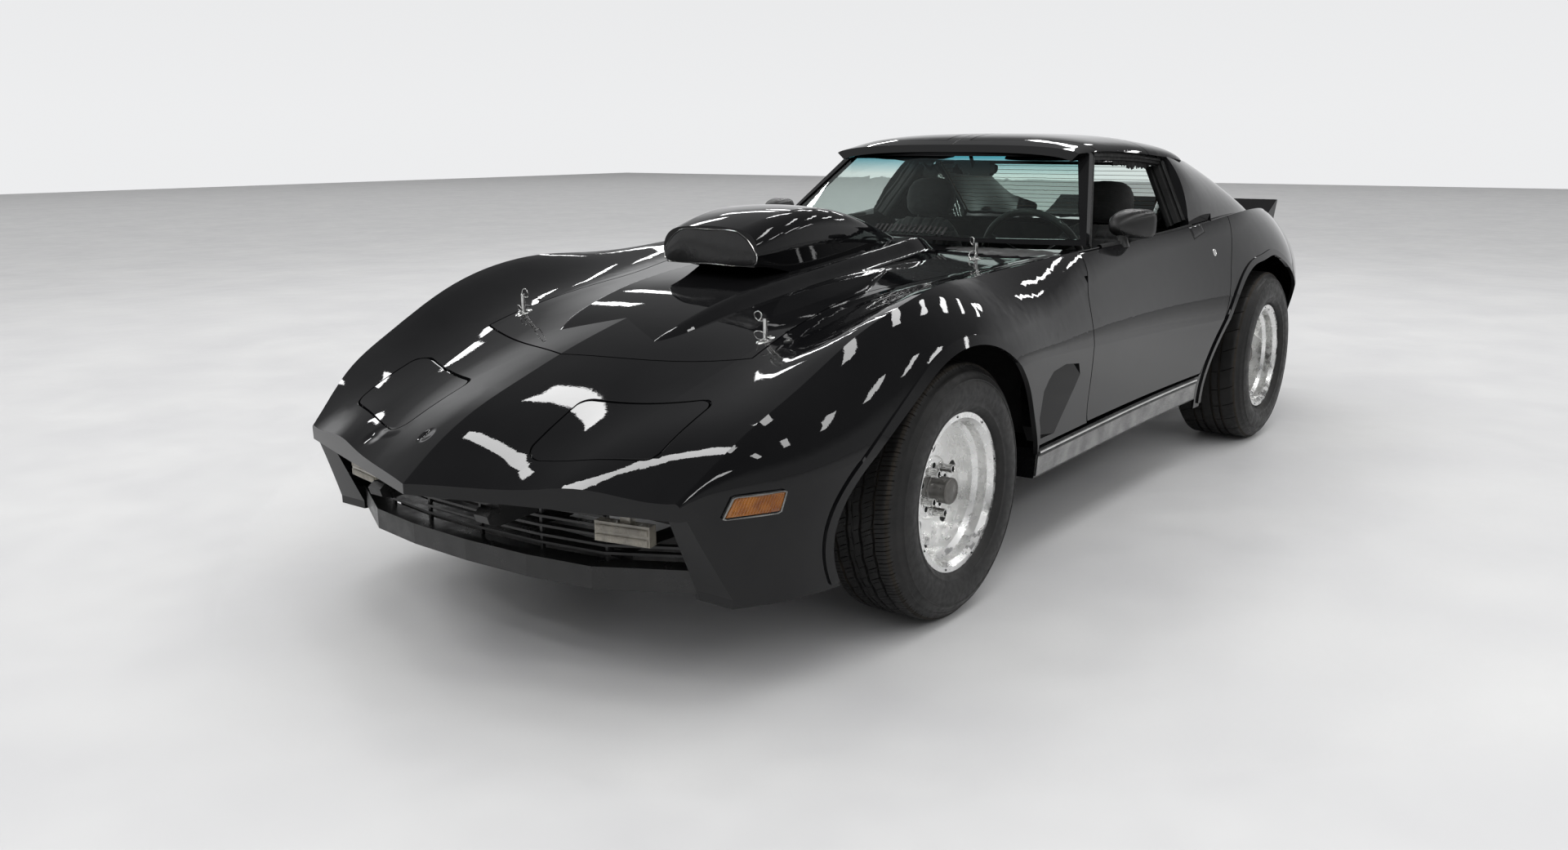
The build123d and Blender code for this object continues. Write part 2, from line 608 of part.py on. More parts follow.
def behind_header(setback):
    """Everything behind the curved front edge of the roof panels."""
    left = [(X(x) - setback, Y(y), 0) for x, y in HEADER] + [(X(-400), Y(1100), 0)]
    right = [(x, -y, 0) for x, y, _ in left[1:]]
    outline = right[::-1] + left + [(X(-2000), Y(1100), 0), (X(-2000), -Y(1100), 0)]
    return push(polygon(outline), (0, 0, OVER))


def make_sail():
    """Left sail panel and rear pillar, from the roof down to the deck."""
    rows = [(-600, 690, 880, 541, 1142, 640, 868), (-740, 692, 892, 556, 1131, 600, 868),
            (-900, 692, 900, 550, 1116, 440, 868), (-1130, 684, 905, 508, 1096, 440, 866),
            (-1388, 664, 897, 508, 1014, 455, 858), (-1603, 632, 874, 508, 936, 470, 850),
            (-1850, 590, 850, 520, 862, 480, 836)]
    wires = []
    for x, yo, zo, yr, zr, yi, zi in rows:
        x = X(x)
        outer, ridge, inner = (x, Y(yo), Z(zo)), (x, Y(yr), Z(zr)), (x, Y(yi), Z(zi))
        inner_top = (x, Y(yr) - 26, Z(zr) - 6)
        bulge = (x, Y(yo + (yr - yo) * 0.25), Z(zo + (zr - zo) * 0.6))
        low_out, low_in = (x, Y(yo), Z(820)), (x, Y(yi), Z(820))
        wires.append(Wire([
            Edge.make_bezier(Vector(*outer), Vector(*bulge), Vector(*ridge)),
            Edge.make_line(ridge, inner_top), Edge.make_line(inner_top, inner),
            Edge.make_line(inner, low_in), Edge.make_line(low_in, low_out),
            Edge.make_line(low_out, outer)]))
    low, high = PILLAR_EDGE
    ahead = polygon([(X(low[0]), 0, Z(low[1]) - 400), (X(low[0]), 0, Z(low[1])),
                     (X(high[0]), 0, Z(high[1])), (X(high[0]), 0, OVER), (X(0), 0, OVER),
                     (X(0), 0, Z(low[1]) - 400)])
    return Solid.make_loft(wires) - push(ahead, (0, Y(1200), 0))


PILLAR_EDGE = ((-652, 915), (-739, 1131))      # x, z of the front edge of the rear pillars
T_BAR = 45.0               # half width of the roof's centre bar
PANEL_THICKNESS = 20.0     # lift-off roof panels
LEDGE = 18.0               # rebate that the roof panels rest on
BAND_X = -600              # front edge of the fixed roof band


def make_roof(rear):
    plate = roof_plate()
    band = plate & block(X(BAND_X), X(-900), -900, 900, 0, OVER)
    bar = plate & block(X(BAND_X), X(-60), -T_BAR, T_BAR, 0, OVER) & behind_header(0)
    span = block(X(BAND_X) + PANEL_GAP, X(-60), T_BAR + PANEL_GAP, 900, 0, OVER)
    panel = roof_plate(0, PANEL_THICKNESS) & span & behind_header(PANEL_GAP)
    clear = block(X(BAND_X) + LEDGE, X(-60), T_BAR + LEDGE, 900, 0, OVER)
    clear = clear & behind_header(LEDGE)
    above = roof_plate(-10, PANEL_THICKNESS + SEAT_GAP + 10)
    ledge = (plate - above) & block(X(BAND_X), X(-60), -Y(440), Y(440), 0, OVER)
    bar = bar + (ledge - clear - flip(clear))
    sail = make_sail() - CAVITY
    sail = sail - door_outline(0, Y(DOOR_INNER_Y) - PANEL_GAP, 1200)
    rear = rear + band + sail + flip(sail)
    return rear, bar, panel


def make_rear_view_mirror(plate):
    """Inside mirror turned towards the driver, on a stalk from the roof's front end."""
    x, z = X(-262), Z(1093)
    shell = Box(22, 205, 56)
    shell = fillet(shell.edges().filter_by(Axis.X), 18)
    shell = Pos(x, 0, z) * Rot(0, 0, -20) * shell
    stalk = rod((x + 4, 0, z), (X(-208), 0, Z(1196)), 7)
    return shell + (stalk - plate)


def make_rear_window():
    """Upright rear glass between the sails."""
    flat = polygon([(X(-905), Y(425), Z(1100)), (X(-905), Y(-425), Z(1100)),
                    (X(-1010), Y(-428), Z(884)), (X(-1010), Y(428), Z(884))])
    return push(flat, (GLASS, 0, 0))


# ---- nose, tail and trim ----

def make_front_trim():
    """Chin lip, grille bars, bumper guards and ribbed turn lamps inside the mouth."""
    line = [(X(x), min(Y(y), MOUTH_Y - SEAT_GAP)) for x, y in LIP_LINE]
    lip = vee(line, LIP_DEPTH, Z(240), Z(292))
    recess = [(x - 42, y) for x, y in line]
    bars = [vee(recess, 20, z, z + 6) for z in (Z(308), Z(326))]
    upper = [(x, y) for x, y in recess if y < Y(400)]
    bars += [vee(upper, 20, Z(z), Z(z) + 6) for z in GRILLE_LEVELS]
    for x, y in upper:
        for side in (1, -1):
            bars.append(block(x - 16, x - 8, side * y - 4, side * y + 4, Z(292), MOUTH_Z))
    grille = fuse(bars)
    guards = []
    for y in (Y(188), -Y(188)):
        profile = [(2150, 386), (2262, 380), (2290, 390), (2296, 408), (2280, 420), (2262, 420),
                   (2262, 438), (2228, 438), (2228, 420), (2150, 412)]
        flat = polygon([(X(x), y - 22, MOUTH_Z if z == 438 else Z(z)) for x, z in profile])
        guards.append(push(flat, (0, 44, 0)) - grille)
    turn = push(polygon([(X(2150), Y(388), Z(352)), (X(2122), Y(524), Z(352)),
                         (X(2096), Y(519), Z(352)), (X(2124), Y(383), Z(352))]),
                (0, 0, Z(398) - Z(352)))
    turn = (turn - grille) + block(X(2106), X(2124), Y(440), Y(470), Z(396), MOUTH_Z)
    return lip, grille, guards, both(turn)


GRILLE_LEVELS = (348, 370, 392, 414)


def vee(line, depth, z0, z1):
    """Level band across the car behind a front line of (x, y) points, left half given."""
    outline = [(x, -y) for x, y in reversed(line[1:])] + line
    outline += [(x - depth, y) for x, y in reversed(outline)]
    return push(polygon([(x, y, z0) for x, y in outline]), (0, 0, z1 - z0))


def make_side_marker():
    prism = push(face([(X(2070), Y(600), Z(437)), (X(2052), Y(600), Z(478))],
                      [(X(2052), Y(600), Z(478)), (X(1960), Y(600), Z(480))],
                      [(X(1960), Y(600), Z(480)), (X(1970), Y(600), Z(440))],
                      [(X(1970), Y(600), Z(440)), (X(2070), Y(600), Z(437))]),
                 (0, Y(300), 0))
    return (FAT_HULL - HULL) & prism


def tail_cut(shift):
    """Everything behind the slanted tail faces, moved forward by shift."""
    x = X(-2352) + shift
    flat = polygon([(x + 34, -1000, Z(900)), (x, -1000, Z(600)), (x, -1000, Z(500)),
                    (x + 110, -1000, Z(280)), (x + 110, -1000, -50), (x - 500, -1000, -50),
                    (x - 500, -1000, Z(900))])
    return push(flat, (0, 2000, 0))


LAMP_PLACES = [(300, 640), (480, 640)]
TAIL_LAMP_RADIUS = 62.0


def make_tail():
    cover = (HULL & side_slab(X(-2400), X(-2235) - PANEL_GAP)) - tail_cut(0)
    cover = cover - (CAVITY - tail_cut(SKIN))
    cover = cover + ((CAVITY - GUTTER) & side_slab(X(-2260), X(-2215), Z(330)))
    lamps = []
    for y, z in LAMP_PLACES:
        for side in (1, -1):
            place = (X(-2400), side * Y(y), Z(z))
            inner = (X(-2305), side * Y(y), Z(z))
            cover = cover - rod(place, inner, TAIL_LAMP_RADIUS + 2)
            lamps.append(rod((X(-2338), side * Y(y), Z(z)), (X(-2310), side * Y(y), Z(z)),
                             TAIL_LAMP_RADIUS))
    cover = cover - block(X(-2400), X(-2336), -Y(165), Y(165), Z(400), Z(560))
    for y, z in LAMP_PLACES:
        for side in (1, -1):
            y_side = side * Y(y)
            cup = rod((X(-2400), y_side, Z(z)), (X(-2304), y_side, Z(z)),
                      TAIL_LAMP_RADIUS + 8)
            cup = cup - rod((X(-2401), y_side, Z(z)), (X(-2310), y_side, Z(z)),
                            TAIL_LAMP_RADIUS + 2)
            cover = cover + (cup - tail_cut(0))
    return cover, lamps


SPOILER_HALF = 550         # half the width of the tail spoiler


def make_spoiler():
    """Upturned lip across the tail, its ends sweeping down into the fenders."""
    end = -Y(SPOILER_HALF)
    profile = polygon([(X(-2010), end, Z(815)), (X(-2120), end, Z(846)),
                       (X(-2262), end, Z(912)), (X(-2272), end, Z(908)),
                       (X(-2215), end, Z(790)), (X(-2010), end, Z(780))])
    return push(profile, (0, -2 * end, 0)) - HULL


# ---- chassis and cabin ----

FLOOR_Z = 262              # underside of the cabin floor
MOUNT_PADS = (600, 100, -300, -700)


def make_frame():
    """Two kicked-up box rails with their body pads, and the members between them."""
    rails = []
    path = [(2060, 385, 260), (1000, 385, 260), (720, 560, 200), (-770, 560, 200),
            (-980, 440, 430), (-1450, 440, 430), (-1720, 440, 300), (-2200, 440, 300)]
    for start, end in zip(path, path[1:]):
        a = (X(start[0]), Y(start[1]), Z(start[2]))
        b = (X(end[0]), Y(end[1]), Z(end[2]))
        rails.append(beam(a, b, RAIL_WIDTH, RAIL_HEIGHT))
        rails.append(Pos(*b) * Box(RAIL_WIDTH, RAIL_WIDTH, RAIL_HEIGHT))
    for x in MOUNT_PADS:
        rails.append(block(X(x) - 30, X(x) + 30, Y(545), Y(575), Z(200), Z(FLOOR_Z)))
    rail = fuse(rails)
    bars = [block(X(x) - 35, X(x) + 35, -Y(half), Y(half), Z(z) - 30, Z(z) + 30)
            for x, z, half in ((2040, 260, 385), (1292, 245, 385), (500, 190, 560),
                               (-640, 190, 560), (-1197, 446, 440), (-1420, 430, 440),
                               (-2150, 300, 440))]
    bars.append(block(X(1690), X(1750), -Y(385), Y(385), Z(260), Z(300)))
    for y in (150, -150):
        bars.append(block(FRONT_AXLE - 35, FRONT_AXLE + 35, Y(y) - 30, Y(y) + 30, Z(245), Z(300)))
    pin_x, pin_y = HOOD_PINS[0]
    bar_z = Z(PIN_BASES[0])
    bars.append(block(X(pin_x) - 20, X(pin_x) + 20, -Y(pin_y) - 16, Y(pin_y) + 16,
                      bar_z - 20, bar_z))
    for y in (Y(385), -Y(385)):
        bars.append(block(X(pin_x) - 18, X(pin_x) + 18, y - 18, y + 18, Z(260), bar_z))
    return both(rail), fuse(bars) - rail - flip(rail)


def make_tub():
    """Floor pan with its tunnel and side walls."""
    floor = block(X(-740), X(640), -Y(640), Y(640), Z(FLOOR_Z), Z(FLOOR_Z) + SHEET)
    tunnel = block(X(-740), X(640), -Y(140), Y(140), Z(FLOOR_Z), Z(470))
    bore = block(X(-760), X(660), -Y(140) + SHEET, Y(140) - SHEET, Z(FLOOR_Z) - 1,
                 Z(470) - SHEET)
    tub = floor + tunnel - bore
    for side in (1, -1):
        tub = tub + block(X(-740), X(640), side * Y(630), side * Y(640), Z(FLOOR_Z), Z(380))
    return tub


def make_firewall():
    """Bulkhead ahead of the feet, the cowl bar with the rear hood pins, and the door hinges."""
    wall = block(X(640), X(640) + SHEET, -Y(640), Y(640), Z(FLOOR_Z), Z(806))
    wall = wall - block(X(600), X(700), -Y(135), Y(135), Z(200), Z(460))
    pin_x = X(HOOD_PINS[2][0])
    cowl_z = Z(PIN_BASES[1])
    wall = wall + block(pin_x - 16, X(650), -Y(640), Y(640), cowl_z - SHEET, cowl_z)
    for side in (1, -1):
        wall = wall + block(X(575), X(650), side * Y(640), side * Y(690), Z(345), Z(790))
        hinge_x, hinge_y = X(DOOR_HINGE[0]), side * Y(DOOR_HINGE[1])
        for z in HINGE_HEIGHTS:
            level = Z(z) - 14 - SEAT_GAP
            leaf = block(hinge_x - 9, hinge_x + 9, side * Y(680), hinge_y, level - 10, level)
            leaf = leaf + Pos(hinge_x, hinge_y, level - 5) * Cylinder(HINGE_PIN + 5, 10)
            wall = wall + leaf + rod((hinge_x, hinge_y, level - 10),
                                     (hinge_x, hinge_y, Z(z) + 14), HINGE_PIN)
    return wall


def make_luggage_shelf():
    """Bulkhead behind the seats and the open-topped luggage well behind it."""
    wall = block(X(-740) - SHEET, X(-740), -Y(640), Y(640), Z(FLOOR_Z), Z(640))
    shelf = block(X(-1040), X(-740), -Y(540), Y(540), Z(640) - SHEET, Z(640))
    back = block(X(-1040) - SHEET, X(-1040), -Y(540), Y(540), Z(640) - SHEET, Z(845))
    well = wall + shelf + back
    for side in (1, -1):
        well = well + block(X(-1040), X(-740), side * Y(530), side * Y(540), Z(640) - SHEET,
                            Z(845))
    return well


def make_sills():
    """Left sill under the door, with the aluminium trim on its face."""
    sill = (HULL & block(X(-560), X(815), Y(645), 1200, Z(258), Z(345)))
    sill = sill - front_arch(0, Y(500), 1200) - rear_arch(0, Y(500), 1200)
    trim = (FAT_HULL - HULL) & block(X(-530), X(812), Y(645), 1200, Z(266), Z(340))
    trim = trim - front_arch(2, Y(500), 1200) - rear_arch(LIP + 2, Y(500), 1200)
    return sill, trim


def make_dashboard():
    dash = block(X(250), X(470), -Y(625), Y(625), Z(640), Z(826))
    dash = dash - block(X(240), X(330), -Y(640), Y(640), Z(600), Z(700))
    console = block(X(-300), X(300) - 2, -Y(135), Y(135), Z(470) + SEAT_GAP, Z(560))
    return dash, console


def make_seat(side):
    """Plain seat shape: cushion, back and round headrest."""
    y = side * Y(380)
    half = SEAT_WIDTH / 2 - 25
    base = Z(FLOOR_Z) + SHEET + SEAT_GAP
    cushion = block(X(-420), X(90), y - half, y + half, base, Z(440))
    back = beam((X(-400), y, Z(430)), (X(-600), y, Z(900)), 2 * half, 130)
    head = beam((X(-590), y, Z(880)), (X(-628), y, Z(1035)), 240, 100)
    return cushion + back + head


# ---- running gear ----

def revolve_y(points):
    """Ring about the Y axis from (radius, y) points."""
    flat = polygon([(r, y, 0) for r, y in points])
    return revolve(flat, Axis.Y, 360)


def make_tyre(radius, width):
    """Tyre about the Y axis, its outer sidewall at y = 0 and the rest inboard."""
    bead, h = BEAD_RADIUS + SEAT_GAP, width
    shoulder = 26.0
    flange, side = RIM_LIP_RADIUS + 1, 26.0
    middle = (radius + flange) / 2
    wall = [(flange, -side), (flange + 14, -10), (middle - 14, 0), (radius - 40, -7),
            (radius - 14, -shoulder)]
    edge = [(radius - 14, -shoulder), (radius - 6, -shoulder - 5), (radius - 2, -shoulder - 14)]
    crown = [edge[-1], (radius, -h / 2), (radius - 2, -h + shoulder + 14)]
    inner_edge = [(r, -h - y) for r, y in reversed(edge)]
    inner = [(r, -h - y) for r, y in reversed(wall)]
    runs = [[(bead, -h + side), (bead, -side)], [(bead, -side), wall[0]], wall, edge, crown,
            inner_edge, inner, [inner[-1], (bead, -h + side)]]
    flat = face(*[[(r, y, 0) for r, y in run] for run in runs])
    return revolve(flat, Axis.Y, 360)


def make_rim(tyre_width, dish):
    """Deep-dish wheel: lip, stepped barrel and a bored centre disc at depth dish."""
    o, w = -22.0, tyre_width - 44.0
    outer = [(RIM_LIP_RADIUS - 14, o), (RIM_LIP_RADIUS, o), (RIM_LIP_RADIUS, o - 1.5),
             (BEAD_RADIUS, o - 2.5), (BEAD_RADIUS, o - 40), (BEAD_RADIUS - 14, o - 56),
             (BEAD_RADIUS - 14, o - w + 56), (BEAD_RADIUS, o - w + 40),
             (BEAD_RADIUS, o - w + 2), (RIM_LIP_RADIUS, o - w + 1.5)]
    inner = [(RIM_LIP_RADIUS, o - w), (RIM_LIP_RADIUS - 22, o - w),
             (BEAD_RADIUS - 22, o - w + 50), (BEAD_RADIUS - 22, o - dish - 16),
             (SPINDLE_RADIUS + 12, o - dish - 16), (SPINDLE_RADIUS + 12, o - dish),
             (BEAD_RADIUS - 22, o - dish), (BEAD_RADIUS - 22, o - 52),
             (BEAD_RADIUS - 10, o - 40), (BEAD_RADIUS - 10, o - 14)]
    rim = revolve_y(outer + inner)
    for i in range(5):
        turn = math.radians(90 + i * 72)
        reach = 110.0
        hole = rod((reach * math.cos(turn), o - dish + 5, reach * math.sin(turn)),
                   (reach * math.cos(turn), o - dish - 30, reach * math.sin(turn)), 17)
        rim = rim - hole
    return rim


def make_hub(dish):
    """Hub with its cap and the brake disc that turns with the wheel."""
    o = -22.0 - dish
    bore = SPINDLE_RADIUS + RUNNING_GAP
    points = [(0, o + 40), (26, o + 40), (26, o + 4), (SPINDLE_RADIUS + 11.5, o + 4),
              (SPINDLE_RADIUS + 11.5, o - 16 - SEAT_GAP), (72, o - 16 - SEAT_GAP),
              (72, o - 40), (DISC_RADIUS, o - 40), (DISC_RADIUS, o - 40 - DISC_THICKNESS),
              (46, o - 40 - DISC_THICKNESS), (bore, o - 40 - DISC_THICKNESS), (bore, o + 12),
              (0, o + 12)]
    return revolve_y(points)


def wheel_places():
    """Name, axle x, hub height, outer face y, side, tyre radius, tyre width, dish depth."""
    rows = []
    for side, word in ((1, "left"), (-1, "right")):
        rows.append((f"front_{word}", FRONT_AXLE, FRONT_TYRE_RADIUS, Y(FRONT_TYRE_FACE), side,
                     FRONT_TYRE_RADIUS, FRONT_TYRE_WIDTH, 78.0))
        rows.append((f"rear_{word}", REAR_AXLE, REAR_TYRE_RADIUS, Y(REAR_TYRE_FACE), side,
                     REAR_TYRE_RADIUS, REAR_TYRE_WIDTH, 110.0))
    return rows


def place_wheel(shape, x, z, y, side):
    moved = Pos(x, y, z) * shape
    return moved if side > 0 else flip(moved)


KINGPIN_Y = 620.0


def make_knuckle():
    """Left front upright with spindle, steering arm and ball-joint bosses."""
    x, z = FRONT_AXLE, FRONT_TYRE_RADIUS
    disc_back = Y(FRONT_TYRE_FACE) - 22 - 78 - 40 - DISC_THICKNESS
    tip = Y(FRONT_TYRE_FACE) - 22 - 78 + 10
    upright = block(x - 26, x + 26, Y(KINGPIN_Y) - 22, Y(KINGPIN_Y) + 22, z - 120, z + 120)
    spindle = rod((x, Y(KINGPIN_Y), z), (x, tip, z), SPINDLE_RADIUS)
    collar = rod((x, Y(KINGPIN_Y), z), (x, disc_back - 3, z), 40)
    arm = beam((x - 10, Y(KINGPIN_Y), z - 50), (x - 118, Y(KINGPIN_Y) - 34, z - 50), 26, 24)
    return upright + spindle + collar + arm


def make_front_suspension():
    """Left A-arms, coil spring tower and the anchor brackets on the frame."""
    x, z = FRONT_AXLE, FRONT_TYRE_RADIUS
    joint = Y(KINGPIN_Y)
    pieces = []
    for level, reach in ((z - 134 - SEAT_GAP, 150), (z + 134 + SEAT_GAP, 110)):
        inboard = Y(385) + RAIL_WIDTH / 2 - 20
        for sign in (1, -1):
            pieces.append(beam((x + sign * reach, inboard, level), (x, joint, level), 34, 28))
        pieces.append(Pos(x, joint, level) * Cylinder(26, 28))
    rail_low, rail_top = Z(260) - RAIL_HEIGHT / 2, Z(260) + RAIL_HEIGHT / 2
    for sign in (1, -1):
        pieces.append(block(x + sign * 150 - 18, x + sign * 150 + 18, Y(372), Y(398),
                            z - 148, rail_low))
    pieces.append(block(x - 128, x + 128, Y(345), Y(400), rail_top, z + 152))
    return fuse(pieces)


def make_rear_axle(rails, members):
    """Differential, half shafts, hub carriers on trailing arms, and the crosswise spring."""
    x, z = REAR_AXLE, REAR_TYRE_RADIUS
    face_y = Y(REAR_TYRE_FACE)
    arm_y = face_y - REAR_TYRE_WIDTH - 31
    disc_back = face_y - 22 - 110 - 40 - DISC_THICKNESS
    tip = face_y - 22 - 110 + 10
    case = Pos(x, 0, z) * Box(220, 240, 190)
    case = fillet(case.edges(), 30)
    axle = case
    for side in (1, -1):
        axle = axle + rod((x, side * Y(60), z), (x, side * (disc_back - 20), z), 26)
        axle = axle + rod((x, side * arm_y, z), (x, side * (disc_back - 3), z), 62)
        axle = axle + rod((x, side * arm_y, z), (x, side * tip, z), SPINDLE_RADIUS)
        arm_end = (X(-872), side * arm_y, Z(318))
        axle = axle + beam((x, side * arm_y, z), arm_end, 30, 46)
        pivot = rod((arm_end[0], side * (arm_y + 12), arm_end[2]),
                    (arm_end[0], side * Y(486), arm_end[2]), 17)
        axle = axle + pivot
    spring = block(x - 150, x - 95, -arm_y, arm_y, z - 76, z - 54)
    hanger = block(x - 150, x - 90, -70, 70, z - 60, z - 30)
    links = [block(x - 140, x - 40, side * (arm_y - 16), side * arm_y, z - 76, z - 20)
             for side in (1, -1)]
    crown = block(x - 30, x + 30, -60, 60, z + 80, Z(446) - 30)
    return fuse([axle, spring, hanger, crown] + links) - rails - members


def make_steering_wheel():
    """Three-spoke wheel on its hub, built about its own axis, then tilted into place."""
    ring = Torus(185, 12)
    hub = Cylinder(34, 34)
    spokes = [Rot(0, 0, 90 + i * 120) * Pos(100, 0, -4) * Box(160, 30, 8) for i in range(3)]
    return fuse([ring, hub] + spokes)


STEERING_CENTRE = (0, 380, 785)
STEERING_RAKE = 70.0


def wheel_plane():
    rake = math.radians(90 - STEERING_RAKE)
    x, y, z = STEERING_CENTRE
    axis = Vector(-math.cos(rake), 0, math.sin(rake))
    return Plane(origin=(X(x), Y(y), Z(z)), x_dir=(0, 1, 0), z_dir=axis)


os.makedirs("parts", exist_ok=True)

front, rear = make_shells()
rear, bar, roof_panel = make_roof(rear)
save("front_clip", front)
save("rear_body", rear)
hood = make_hood()
save("hood", hood)
save("hood_scoop", make_scoop(hood))
pins = [rod((X(x), Y(y), Z(PIN_BASES[i // 2])), (X(x), Y(y), Z(PIN_TOPS[i // 2])), PIN_RADIUS)
        for i, (x, y) in enumerate(HOOD_PINS)]
save("hood_pins", *pins)

lamp = make_headlamp()
door = make_door()
mirror_shell = make_door_mirror() - door
for word, side in (("left", lambda s: s), ("right", flip)):
    save(f"headlamp_{word}", side(lamp))
    save(f"door_{word}", side(door))
    save(f"door_mirror_{word}", side(mirror_shell))
    save(f"knuckle_{word}", side(make_knuckle()))

glass, frame_band, header = make_windshield()
save("windshield", glass)
save("windshield_frame", (frame_band + header + bar) - glass)
save("t_top_panels", *both(roof_panel))
save("rear_window", make_rear_window() - rear)
save("rear_view_mirror", make_rear_view_mirror(roof_plate()))

valance, grille, guards, turn = make_front_trim()
save("front_valance", valance)
save("grille", grille)
save("bumper_guards", *guards)
save("turn_signals", *turn)
save("side_markers", *both(make_side_marker()))
cover, tail_lamps = make_tail()
save("rear_bumper", cover)
save("tail_lamps", *tail_lamps)
save("rear_spoiler", make_spoiler())

plane = wheel_plane()
axis = plane.z_dir
origin = Vector(*plane.origin)
sill, trim = make_sills()
save("sills", *both(sill))
save("rocker_trims", *both(trim))
rails, members = make_frame()
save("frame_rails", *rails)
save("cross_members", members)
save("cabin_tub", make_tub())
save("firewall", make_firewall())
save("luggage_shelf", make_luggage_shelf())
dash, console = make_dashboard()
column = rod(tuple(origin - axis * (17 + SEAT_GAP)), tuple(origin - axis * 300), 28)
save("dashboard", dash - column)
save("center_console", console)
save("seats", make_seat(1), make_seat(-1))
save("front_suspension", *both(make_front_suspension()))
save("rear_axle", make_rear_axle(rails, members))
save("engine", block(X(760), X(1480), -Y(270), Y(270), Z(300), Z(740)))
save("radiator", block(X(1690), X(1750), -Y(300), Y(300), Z(300), Z(660)))

save("steering_column", column)
save("steering_wheel", plane * make_steering_wheel())

for name, x, z, face_y, side, radius, width, dish in wheel_places():
    save(f"tyre_{name}", place_wheel(make_tyre(radius, width), x, z, face_y, side))
    rim = place_wheel(make_rim(width, dish), x, z, face_y, side)
    hub = place_wheel(make_hub(dish), x, z, face_y, side)
    save(f"rim_{name}", rim, hub)
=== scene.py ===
import bmesh
import bpy
import math
import random
from mathutils import Matrix, Vector
from mathutils.bvhtree import BVHTree


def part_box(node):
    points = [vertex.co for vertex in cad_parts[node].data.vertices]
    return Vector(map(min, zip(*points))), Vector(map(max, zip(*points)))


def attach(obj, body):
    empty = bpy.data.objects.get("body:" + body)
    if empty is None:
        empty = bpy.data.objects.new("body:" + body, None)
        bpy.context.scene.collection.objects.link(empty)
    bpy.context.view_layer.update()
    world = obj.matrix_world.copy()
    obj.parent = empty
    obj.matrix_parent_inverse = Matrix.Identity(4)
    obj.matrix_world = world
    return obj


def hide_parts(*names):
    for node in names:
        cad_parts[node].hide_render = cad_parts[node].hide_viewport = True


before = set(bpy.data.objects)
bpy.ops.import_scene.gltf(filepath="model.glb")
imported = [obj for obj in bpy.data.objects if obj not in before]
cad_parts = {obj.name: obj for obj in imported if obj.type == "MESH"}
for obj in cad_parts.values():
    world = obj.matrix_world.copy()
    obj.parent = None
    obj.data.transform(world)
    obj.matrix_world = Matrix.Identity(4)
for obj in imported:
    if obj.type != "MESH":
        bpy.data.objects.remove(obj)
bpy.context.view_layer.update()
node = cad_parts


# ---- Camera ----
# A wide lens on a stand ahead of the car's left front corner, at the height of a person's
# chest. It looks back along the car's side and slightly down.

def aim(heading, down, roll):
    """Camera axes from a compass heading, a downward tilt and a roll, all in degrees."""
    heading, down, roll = (math.radians(a) for a in (heading, down, roll))
    ahead = Vector((math.cos(heading) * math.cos(down), math.sin(heading) * math.cos(down),
                    -math.sin(down)))
    side = Vector((math.sin(heading), -math.cos(heading), 0))
    up = side.cross(ahead)
    side, up = (side * math.cos(roll) + up * math.sin(roll),
                up * math.cos(roll) - side * math.sin(roll))
    return Matrix((side, up, -ahead)).transposed().to_4x4()


CAMERA_PLACE = (4.01243, 2.28462, 1.20662)
camera = bpy.data.objects.new("camera", bpy.data.cameras.new("camera"))
bpy.context.scene.collection.objects.link(camera)
camera.matrix_world = Matrix.Translation(CAMERA_PLACE) @ aim(216.570, 12.841, -0.2366)
camera.data.sensor_width = 36
camera.data.lens = 36 * 1543.14 / 1920
camera.data.clip_end = 100
bpy.context.scene.camera = camera


# ---- Studio floor and light ----
# A pale floor under a showroom ceiling: rows of long lamps in a dim ceiling, pale walls at
# the level of the eye, so that black paint shows crisp streaks of light on deep black.

def nodes_of(name):
    """A new node material, its tree and its shader."""
    material = bpy.data.materials.new(name)
    material.use_nodes = True
    return material, material.node_tree, material.node_tree.nodes["Principled BSDF"]


def grain(tree, scale, detail=4, stretch=(1, 1, 1)):
    """Noise in the object's own metres, stretched along its axes."""
    place = tree.nodes.new("ShaderNodeTexCoord")
    turn = tree.nodes.new("ShaderNodeMapping")
    turn.inputs["Scale"].default_value = stretch
    noise = tree.nodes.new("ShaderNodeTexNoise")
    noise.inputs["Scale"].default_value = scale
    noise.inputs["Detail"].default_value = detail
    tree.links.new(place.outputs["Object"], turn.inputs["Vector"])
    tree.links.new(turn.outputs["Vector"], noise.inputs["Vector"])
    return noise.outputs["Fac"]


def shade(tree, factor, socket, low, high, start=0.35, end=0.65):
    """Runs a socket from one number or colour to another along a texture."""
    ramp = tree.nodes.new("ShaderNodeValToRGB")
    ramp.color_ramp.elements[0].position, ramp.color_ramp.elements[1].position = start, end
    pair = [(v, v, v) if isinstance(v, (int, float)) else v for v in (low, high)]
    ramp.color_ramp.elements[0].color = (*pair[0], 1)
    ramp.color_ramp.elements[1].color = (*pair[1], 1)
    tree.links.new(factor, ramp.inputs["Fac"])
    tree.links.new(ramp.outputs["Color"], socket)


def relief(tree, shader, factor, depth, socket="Normal"):
    """Bump of a real depth in metres."""
    bump = tree.nodes.new("ShaderNodeBump")
    bump.inputs["Distance"].default_value = depth
    tree.links.new(factor, bump.inputs["Height"])
    tree.links.new(bump.outputs["Normal"], shader.inputs[socket])
    return bump


